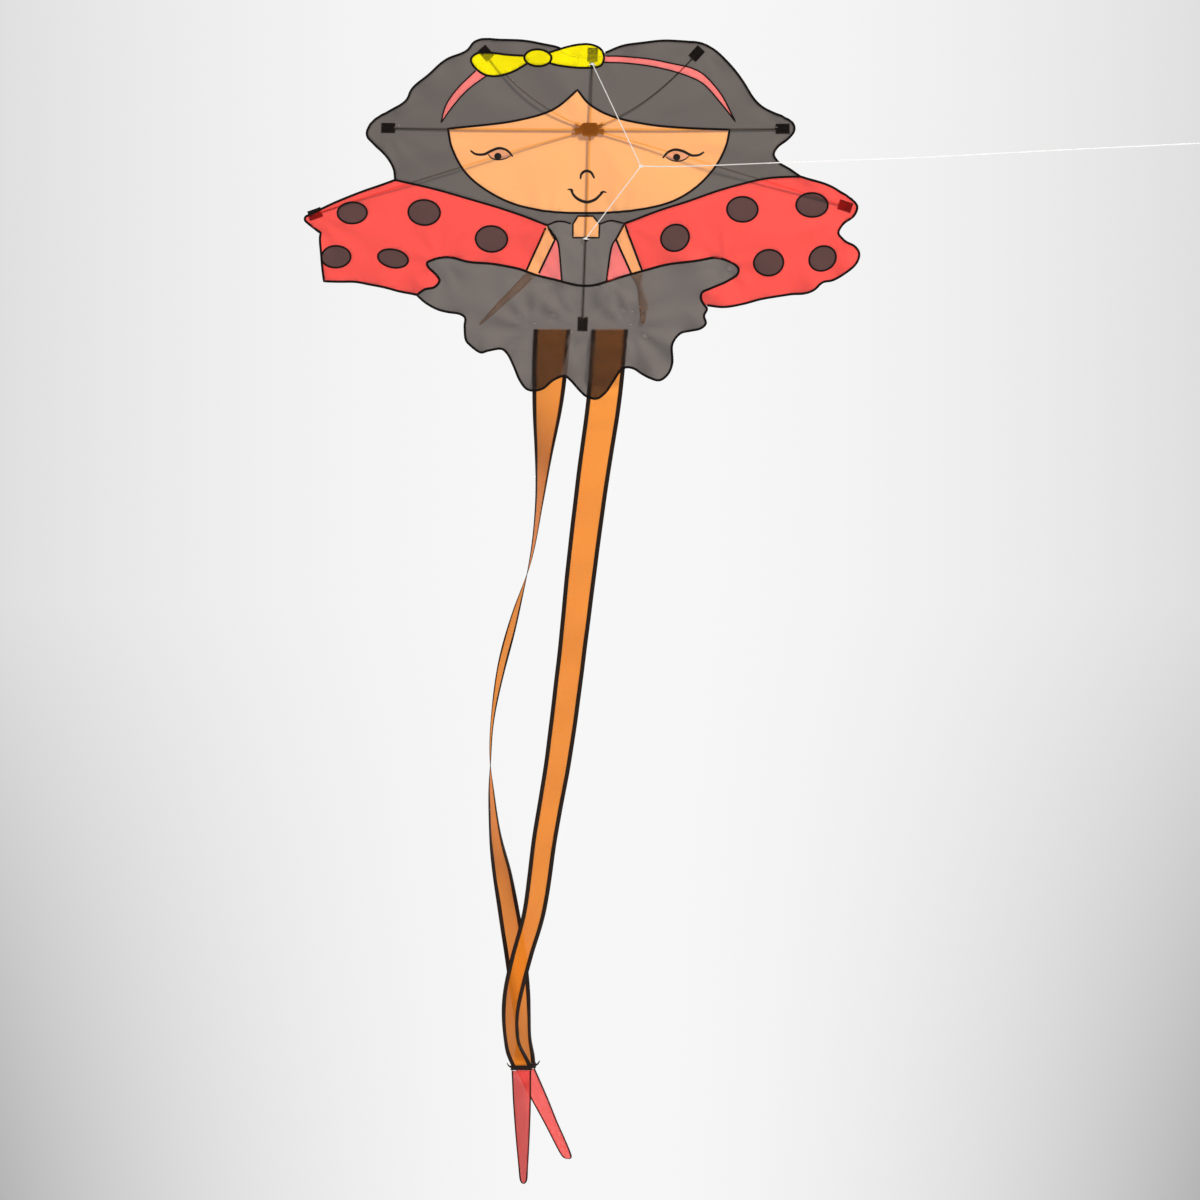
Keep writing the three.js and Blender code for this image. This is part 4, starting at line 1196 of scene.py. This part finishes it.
print("a leg is", LEG_LENGTH, "mm long")

# %% [markdown]
# ## The legs
# Both legs start behind the skirt, at the seam that they swing from. The right one hangs
# nearly flat. The left one turns edge-on to the wind half way down and comes back across it
# above the ankles. Small ripples run down each, larger where the ribbon is slack.

# %% Make the legs
LEGS = {
    "leg_right": [(0, 40, 0, 0), (0.095, 28, 3, 2), (0.2, 6, 4, 6), (0.312, -15, 5, 10),
                  (0.45, -38, 6, 12), (0.586, -64, 6, 8), (0.689, -90, 5, 10),
                  (0.793, -112, 3, 8), (0.854, -137, 0, 12), (0.9, -153, -1, 25),
                  (0.935, -159, -1, 42), (0.97, -155, -1, 44), (1, -137, -1, 0)],
    "leg_left": [(0, -75, 0, 0), (0.04, -79, 8, 10), (0.085, -83, 20, 26),
                 (0.16, -92, 30, 58), (0.235, -102, 32, 76), (0.312, -119, 32, 90),
                 (0.39, -151, 32, 104), (0.47, -181, 31, 106), (0.54, -197, 30, 100),
                 (0.586, -200, 29, 93), (0.63, -198, 28, 78), (0.689, -190, 26, 66),
                 (0.742, -176, 26, 44), (0.793, -163, 27, 28), (0.85, -150, 29, 16),
                 (0.9, -141, 32, 25), (0.935, -136, 34, 42), (0.97, -133, 32, 44),
                 (1, -130, 26, 0)],
}
LEG_ROWS = 220
LEG_SHARES = [-1, -0.82, -0.6, -0.3, 0, 0.3, 0.6, 0.82, 1]
BINDING = 8.5


def behind_sail(x, y, z, width):
    """Keeps a hanging piece just behind the cloth where the skirt covers it."""
    share = min(1, max(0, (z + 600) / 50))
    deepest = max(cloth_depth(x + side * width / 2, z) for side in (-1, -0.5, 0, 0.5, 1))
    return y + max(0, deepest + 2.4 - y) * share * min(1, max(0, (HIP_Z - z) / 8))


leg_rows = {}
for name, stations in LEGS.items():
    scaled = [(share * LEG_LENGTH, x, y, turn) for share, x, y, turn in stations]
    rows = []
    for run, x, y, turn in stations_along(scaled, LEG_ROWS):
        share = min(1, run / LEG_LENGTH)
        slack = math.sin(math.pi * share)
        y += 1.6 * slack * math.sin(run * 0.045 + (2 if name == "leg_left" else 0))
        turn += 3.0 * slack * math.sin(run * 0.021 + 1)
        z = HIP_Z - share * LEG_LENGTH
        width = LEG_WIDTH + (ANKLE_WIDTH - LEG_WIDTH) * share
        rows.append((x, behind_sail(x, y + BEHIND_SKIRT, z, width), z, width, math.radians(turn)))
    leg_rows[name] = rows
    laid = ribbon_rows(rows, LEG_SHARES)
    for i, row in enumerate(laid):
        for k, place in enumerate(row):
            place.y += 0.0007 * math.sin(i * 0.42 + k * 1.1) * math.sin(math.pi * i / LEG_ROWS)
    leg = grid_piece(name + "_ribbon", laid, "leg_cloth", 0.0006)
    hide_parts(name)
    bound = side_strips(name, laid, "binding", BINDING / 2 * MM, 0.9, "pocket_tape", 0.0014,
                        "leg_tape")
    area = flat_area(laid)
    for piece in [leg, *bound]:
        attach(piece, name)
    print(name, "flat area", round(area, 4), "m2")

# %% [markdown]
# ## Cuffs and boots
# Each ankle is gathered into a dark cuff whose corners stick out, and a red boot hangs from
# it. The boots are two layers of cloth sewn round their edge, so they are a little thicker in
# the middle. The back layer wears a paler, almost clear copy of the red cloth: painted light
# that lets the front layer glow brighter. A boot is a grid again, lofted down to a rounded toe,
# then given a wall.

# %% Make cuffs and boots
BOOT_LENGTH = 225
BOOT_WIDTH = 38
CUFF_TOP = HIP_Z - LEG_LENGTH - 0.3
CUFF_HEIGHT = 9
CUFF_WIDTH = 52
ANKLE_GAP = 1.6
HEAD_GAP = 1.2
BOOTS = {
    "leg_right": (0.02, 0, [(0, 1), (0.3, 0.9), (0.6, 0.7), (0.85, 0.48), (0.96, 0.38),
                            (0.985, 0.28), (1, 0.10)]),
    "leg_left": (0.38, 0.33, [(0, 1), (0.3, 0.9), (0.6, 0.7), (0.85, 0.62), (0.96, 0.52),
                              (0.985, 0.40), (1, 0.12)]),
}
for leg, (side, back, widths) in BOOTS.items():
    ankle = leg_rows[leg][-1]
    x, y = ankle[0], BEHIND_SKIRT + LEGS[leg][-1][2]
    rows = []
    for share in np.linspace(0, 1, 9):
        width = CUFF_WIDTH - 14 * share + 3 * math.sin(share * 9)
        rows.append((x, y, CUFF_TOP - share * CUFF_HEIGHT, width, 0))
    laid = ribbon_rows(rows, np.linspace(-1, 1, 25))
    for i, row in enumerate(laid):
        for k, place in enumerate(row):
            place.y += 0.0011 * math.sin(k * 1.3 + i * 0.2)
            if k in (0, 24) and i < 3:
                place.z += 0.0022 * (3 - i)
                place.x += 0.0011 * (3 - i) * (1 if k else -1)
    cuff = grid_piece(leg.replace("leg", "cuff") + "_tape", laid, "cuff_tape", 0.0022)
    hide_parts(leg.replace("leg", "cuff"))
    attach(cuff, leg)

    down = math.sqrt(1 - side**2 - back**2)
    profile = stations_along([(s * BOOT_LENGTH, w * BOOT_WIDTH, 0) for s, w in widths], 60)
    top = CUFF_TOP - CUFF_HEIGHT - HEAD_GAP
    faces_of_boot, rows = [], []
    for run, width, _ in profile:
        drop = run * (down + (ANKLE_GAP - HEAD_GAP) / BOOT_LENGTH)
        rows.append((x + run * side, y + run * back, top - drop, max(width, 1.5), 0))
    for layer in (-1, 1):
        laid = ribbon_rows(rows, [-1, -0.86, -0.55, -0.2, 0.2, 0.55, 0.86, 1])
        for i, row in enumerate(laid):
            for k, place in enumerate(row):
                full = math.sin(math.pi * k / 7) ** 0.7 * min(1, i / 6, (60 - i) / 12)
                place.y += layer * (0.0003 + 0.0012 * full) + 0.0006 * math.sin(i * 0.33)
        faces_of_boot.append(laid)
    boot_name = leg.replace("leg", "boot")
    boot = grid_piece(boot_name + "_cloth", faces_of_boot[0], "boot_cloth", 0.0006)
    # The back layer gets a paler, almost clear copy of the boot cloth: painted light.
    lining = grid_piece(boot_name + "_back_cloth", faces_of_boot[1], "boot_cloth", 0.0006,
                        "boot_back_lit_copy")
    front = faces_of_boot[0]
    edge_run = [row[0] for row in front] + [row[-1] for row in reversed(front)]
    middle = [row[3] for row in front] + [row[3] for row in reversed(front)]
    way = [(m - e).normalized() * 0.0015 if (m - e).length > 1e-5 else Vector((0, 0, 0.0015))
           for e, m in zip(edge_run, middle)]
    rim = strip(boot_name + "_binding", [e + w * 0.6 for e, w in zip(edge_run, way)], way,
                "pocket_tape", 0.0013, material="leg_tape")
    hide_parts(boot_name)
    for piece in (boot, lining, rim):
        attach(piece, boot_name)
    area = flat_area(faces_of_boot[0])
    print(boot_name, "width", BOOT_WIDTH, "mm, length", BOOT_LENGTH, "mm")

# %% [markdown]
# ## Loose forearms
# Two tapered strips hang behind the skirt from its top seam, and show through the thin cloth
# as the girl's forearms. Their cloth is a lighter, sheerer copy of the arm cloth, painted light
# that makes them read brighter through the skirt. Each has a narrow hem of its own cloth.

# %% Make the forearms
ARM_WIDTH = 24
ARM_DROP = 100
ARM_TOP = -288
FOREARMS = {
    "forearm_left": [(0, -116, 1, 0), (0.3, -147, 0.9, 4), (0.65, -184, 0.62, 8),
                     (1, -219, 0.2, 10)],
    "forearm_right": [(0, 93, 1, 0), (0.3, 100, 0.5, 40), (0.6, 107, 0.75, 20),
                      (1, 105, 0.3, 10)],
}
for name, stations in FOREARMS.items():
    rows = []
    for drop, x, wide, turn in stations_along(
            [(share * ARM_DROP, x, w * 20, turn) for share, x, w, turn in stations], 34):
        width = wide / 20 * ARM_WIDTH
        turn = math.radians(turn)
        lean = width / 2 * math.sin(turn)
        z = ARM_TOP - drop
        y = float(swept(abs(x) + width / 2)) + 1.4 + abs(lean)
        clear = max(cloth_depth(x + d, z) for d in (-width / 2, 0, width / 2)) + 1.6
        y += max(0, clear - y) * min(1, drop / 14)
        rows.append((x, y, z, width, turn))
    laid = ribbon_rows(rows, LEG_SHARES)
    # The forearm's finish is a lighter, sheerer copy of the arm cloth: painted light.
    forearm = grid_piece(name + "_cloth", laid, "arm_cloth", 0.0005, "forearm_cloth")
    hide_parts(name)
    bound = side_strips(name, laid, "hem", 0.0012, 0.8, "arm_cloth", 0.0011, "forearm_cloth")
    for piece in [forearm, *bound]:
        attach(piece, name)
    flat_area(laid)
print("forearms hang", ARM_DROP, "mm")

# %% [markdown]
# ## Rods and their caps
# The frame is drawn glass-fibre rod: 4 mm for the spine and the cross rods, 3 mm for the rest.
# A curve with a round bevel is enough for each. A short vinyl cap keeps each tip from cutting
# through its pocket.

# %% Make the rods
CAP_LENGTH = 16
CAP_WALL = 0.7
for name, route in rod_routes.items():
    diameter = RODS[name][2] if name in RODS else THICK
    rod = round_line(name + "_fibre", route * MM, diameter * MM, sides=5)
    rod.data.materials.append(FINISHES["rod_fibreglass"])
    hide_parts(name)
    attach(rod, "sail_frame")
    run = run_along(route)
    ends = [(run[-1] - CAP_LENGTH, run[-1])]
    if name == "spine_rod":
        ends.append((0, CAP_LENGTH))
    for number, (start, stop) in enumerate(ends, 1):
        spots = np.linspace(start, stop, 6)
        points = np.stack([np.interp(spots, run, route[:, k]) for k in range(3)], 1)
        cap = round_line(f"{name}_cap_{number}", points * MM,
                         (diameter + 2 * CAP_WALL) * MM, sides=5)
        cap.data.materials.append(FINISHES["rod_cap_vinyl"])
        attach(cap, "sail_frame")
print("rods:", len(rod_routes))

# %% [markdown]
# ## The hub
# All the rods meet in one moulded block. A cube with its upright edges and rims rounded is
# the body. Six tubular sockets leave it, each a cylinder with a raised lip at its mouth. A
# collar stands round the spine above and below, and three thin ribs cross the front.

# %% Make the hub
HUB = (32, 14, 26)
hub_shape = bmesh.new()
bmesh.ops.create_cube(hub_shape, size=1)
bmesh.ops.scale(hub_shape, verts=hub_shape.verts, vec=Vector(HUB) * MM)
bmesh.ops.translate(hub_shape, verts=hub_shape.verts, vec=(0, ROD_DEPTH * MM, 0))
upright = [e for e in hub_shape.edges if abs((e.verts[0].co - e.verts[1].co).y) > 0.01]
bmesh.ops.bevel(hub_shape, geom=upright, offset=0.005, affect="EDGES", segments=6,
                profile=0.5, material=-1)
rims = [e for e in hub_shape.edges
        if e.is_manifold and e.calc_face_angle(0) > math.radians(60)]
bmesh.ops.bevel(hub_shape, geom=rims, offset=0.0012, affect="EDGES", segments=3,
                profile=0.5, material=-1)


def socket_part(shape, degrees, mirrored, start, stop, radius):
    """A tube segment along a socket's line. Lengths in millimetres."""
    tube = bmesh.ops.create_cone(shape, cap_ends=True, segments=28, radius1=radius * MM,
                                 radius2=radius * MM, depth=(stop - start) * MM)["verts"]
    angle = math.radians(degrees)
    way = Vector(((-1 if mirrored else 1) * math.cos(angle), 0, math.sin(angle)))
    turned = way.to_track_quat("Z", "Y").to_matrix().to_4x4()
    turned.translation = way * ((start + stop) / 2 * MM) + Vector((0, ROD_DEPTH * MM, 0))
    bmesh.ops.transform(shape, verts=tube, matrix=turned)


for name, (tip, degrees, diameter, _) in RODS.items():
    outer = diameter / 2 + 2.1
    socket_part(hub_shape, degrees, tip[0] < 0, 6, SOCKET_REACH - 2.4, outer)
    socket_part(hub_shape, degrees, tip[0] < 0, SOCKET_REACH - 3.2, SOCKET_REACH, outer + 0.5)
for up in (-1, 1):
    collar = bmesh.ops.create_cone(hub_shape, cap_ends=True, segments=28, radius1=0.0044,
                                   radius2=0.0040, depth=0.004)["verts"]
    turned = Vector((spine_x(up), 0, up)).to_track_quat("Z", "Y").to_matrix().to_4x4()
    turned.translation = Vector((spine_x(up * 13) * MM, ROD_DEPTH * MM, up * 0.0125))
    bmesh.ops.transform(hub_shape, verts=collar, matrix=turned)
for k in range(3):
    rib = bmesh.ops.create_cube(hub_shape, size=1)["verts"]
    bmesh.ops.scale(hub_shape, verts=rib, vec=(0.020, 0.0006, 0.0012))
    bmesh.ops.translate(hub_shape, verts=rib, vec=(0, -0.0142, (k - 1) * 0.006))
hub = finish_piece("centre_hub_moulding", hub_shape, "hub_plastic")
edge_round = hub.modifiers.new("edges", "BEVEL")
edge_round.width = 0.0003
edge_round.segments = 2
edge_round.limit_method = "ANGLE"
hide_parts("centre_hub")
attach(hub, "sail_frame")
print("hub faces:", len(hub.data.polygons))

# %% [markdown]
# ## Rod pockets
# Each rod's tip pushes into a pocket of heavy tape that is sewn to the back of the sail. The
# tape lies flat at its edges and arches over the rod. A box of stitches with a cross in it
# holds it, and goes through to the front.

# %% Make the pockets
POCKET_WIDTH = 20
POCKET_LENGTH = 28
POCKET_END = 4


def make_pocket(name, tip, toward, diameter, rod_depth):
    """A patch of tape behind the cloth, arched over a rod tip."""
    toward = np.array(toward, float) / np.linalg.norm(toward)
    side = np.array([-toward[1], toward[0]])
    tip = np.array(tip, float)
    rows = []
    for along in np.linspace(POCKET_END, POCKET_END - POCKET_LENGTH, 15):
        row = []
        for out in np.linspace(-1, 1, 17):
            x, z = tip + toward * along + side * (out * POCKET_WIDTH / 2)
            flat = cloth_depth(x, z) + 1.0
            near = max(0.0, 1 - abs(out) * POCKET_WIDTH / 2 / (diameter * 1.35))
            closed = min(1, max(0, (POCKET_END - along) / 6))
            arch = max(0, rod_depth(x) + diameter / 2 + 1.4 - flat)
            y = flat + arch * near ** 0.6 * closed
            row.append(Vector((x * MM, y * MM, z * MM)))
        rows.append(row)
    pocket = grid_piece(name + "_tape", rows, "pocket_tape", 0.0011)
    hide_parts(name)
    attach(pocket, "sail_frame")
    w, a, b = POCKET_WIDTH / 2 - 2, POCKET_END - 2, POCKET_END - 12
    corner = {key: tip + toward * u + side * v for key, (u, v) in
              {"a": (a, -w), "b": (a, w), "c": (b, w), "d": (b, -w)}.items()}
    runs = [np.array([corner[p], corner[q]]) for p, q in
            ("ab", "bc", "cd", "da", "ac", "bd")]
    stitch_row(name + "_stitch_box", runs, "hair_panel", 0.5, "dark_thread")


for name, (tip, _, diameter, _) in RODS.items():
    route = rod_routes[name]
    toward = route[-1][[0, 2]] - route[-2][[0, 2]]
    make_pocket(name.replace("rod", "pocket"), tip, toward, diameter,
                lambda x, d=diameter: float(swept(x)) + pocket_middle(d))
for name, z, up in (("spine_pocket_top", SPINE_TOP, 1), ("spine_pocket_foot", SPINE_FOOT, -1)):
    make_pocket(name, (spine_x(z), z), (SPINE_LEAN * up, up), THICK,
                lambda x: -HUB_FRONT + pocket_middle(THICK))
print("pockets:", len(RODS) + 2)

# %% [markdown]
# ## Bridle anchors
# The bridle is tied to a small loop of the same cord that goes round the spine and out through
# two holes in the cloth. A dark round patch stiffens the place. The loop ends in a
# tight knot where the bridle leg starts.

# %% Make the anchors
ANCHOR_RADIUS = 8
ANCHOR_FORWARD = 3
for name, height in (("bridle_anchor_top", BRIDLE_TOP_Z), ("bridle_anchor_low", BRIDLE_LOW_Z)):
    z = round(height / MM)
    route = rod_routes["spine_rod"]
    spine_y = float(np.interp(z, route[::-1, 2], route[::-1, 1]))
    turn = np.linspace(0, 2 * math.pi, 40, endpoint=False)
    ring = np.stack([spine_x(z) + ANCHOR_RADIUS * np.cos(turn) * (0.75 + 0.25 * np.sin(turn)),
                     spine_y - ANCHOR_FORWARD + ANCHOR_RADIUS * np.sin(turn),
                     z + 0.6 * np.sin(2 * turn)], 1)
    loop_piece = round_line(name + "_loop", ring * MM, CORD, closed=True)
    start = Vector((spine_x(z) * MM, BRIDLE_FORWARD + 0.0015, z * MM))
    lashing = tight_knot(name + "_knot", start, 0.0030, CORD * 0.7)
    for piece in (loop_piece, lashing):
        piece.data.materials.append(FINISHES["cord_braid"])
        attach(piece, "sail_frame")
    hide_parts(name)
    reinforcement = patch(name + "_patch", oval((spine_x(z), z), 5, 5, 0), "pocket_tape",
                          "pocket_tape", 0.5, 0.0007)
    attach(reinforcement, "sail_frame")
    tapes["bow_right_loop" if z > 0 else "bodice_panel"].append(reinforcement)
print("anchors at", BRIDLE_TOP_Z, "and", BRIDLE_LOW_Z, "m")

# %% [markdown]
# ## Attaching the cloth
# Every panel and its tapes are attached to the sail frame. The size that each sheet was cut to
# and the length of each bridle cord are worked out, and not used further.

# %% Attach the panels
# A panel that fills less of its rectangle than this is a bent strip.
BENT_SHARE = 0.32
NARROWEST = 0.011
for name, piece in panel_pieces.items():
    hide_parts(name)
    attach(piece, "sail_frame")
    for tape in tapes[name]:
        if tape.parent is None:
            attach(tape, "sail_frame")
    width, length, area = panel_sizes[name]
    if area < BENT_SHARE * width * length:
        max(area / length, NARROWEST)
for side, start in bridle_starts.items():
    (meet_knot(start) - start).length
    smooth_line([start, meet_knot(start)], CORD_STEP).tolist()
print("panels declared:", len(panel_pieces), "cords: 3")

# %% [markdown]
# ## Light
# The sun is behind a kite that is flown, so its cloth glows. A broad soft light stands behind
# and above the sail, a weaker one in front keeps the rods and knots readable, and a pale sky
# fills the rest. The sky that the camera sees is kept apart from the sky that lights the
# cloth, because a white background bright enough to look white would wash the colours out.

# %% Sky and lights
SKY_SEEN = 0.93
SIDE_FALL = 5.0
CORNER_FALL = 40.0
MOST_FALL = 0.55
AHEAD_FROM = 0.90
AHEAD_FADE = 0.05
SKY_LIGHT = 0.40
world = bpy.data.worlds.new("pale_sky")
bpy.context.scene.world = world
world.use_nodes = True
sky = Finish("sky", world.node_tree)
aside, ahead, up = sky.axes(sky.node("TexCoord"))
aside_squared = aside * aside
low = up.maths("MAXIMUM", up * -1, 0.0)
drop = aside_squared * SIDE_FALL + aside_squared * low * CORNER_FALL
beyond = (ahead - AHEAD_FROM) * (1 / AHEAD_FADE)
in_front = beyond.maths("MINIMUM", beyond.maths("MAXIMUM", beyond, 0.0), 1.0)
fall = drop.maths("MINIMUM", drop, MOST_FALL) * in_front
seen = sky.node("Background", None, {"Color": (1, 1, 1, 1), "Strength": SKY_SEEN - fall})
lit = sky.node("Background", None, {"Color": (1, 1, 1, 1), "Strength": SKY_LIGHT})
from_camera = sky.node("LightPath")
chosen = sky.node("MixShader", None, {0: from_camera, 1: lit, 2: seen})
out = sky.tree.nodes.new("ShaderNodeOutputWorld")
sky.tree.links.new(chosen.socket, out.inputs["Surface"])


def soft_light(name, place, aim, size, watts):
    data = bpy.data.lights.new(name, "AREA")
    data.shape = "DISK"
    data.size = size
    data.energy = watts
    lamp = bpy.data.objects.new(name, data)
    lamp.location = place
    lamp.rotation_euler = (Vector(aim) - Vector(place)).to_track_quat("-Z", "Y").to_euler()
    lamp.visible_camera = False
    bpy.context.scene.collection.objects.link(lamp)


soft_light("sun_behind", (1.9, 3.0, 2.3), (0, 0, -0.4), 0.9, 330)
soft_light("front_fill", (-2.2, -3.2, 1.4), (0, 0, -0.6), 2.0, 22)
soft_light("low_fill", (1.6, -1.6, -2.0), (-0.1, 0, -1.2), 1.6, 14)
bpy.context.scene.view_settings.view_transform = "Standard"
print("sky seen", SKY_SEEN, "sky light", SKY_LIGHT)

# %% [markdown]
# ## Floor
# A plain pale disc lies far below the kite. It catches a faint shadow in the low views.

# %% Floor
FLOOR_Z = -2.6
floor_shape = bmesh.new()
bmesh.ops.create_circle(floor_shape, cap_ends=True, segments=96, radius=2.2)
bmesh.ops.translate(floor_shape, verts=floor_shape.verts, vec=(0, 0, FLOOR_Z))
floor_mesh = bpy.data.meshes.new("floor")
floor_shape.to_mesh(floor_mesh)
floor_shape.free()
floor = bpy.data.objects.new("floor", floor_mesh)
bpy.context.scene.collection.objects.link(floor)
floor_mesh.materials.append(plain("floor_paint", (0.80, 0.80, 0.80, 1), 0.8, 3.0,
                                  strength=0.05, variation=0.1))
print("floor at", FLOOR_Z, "m")
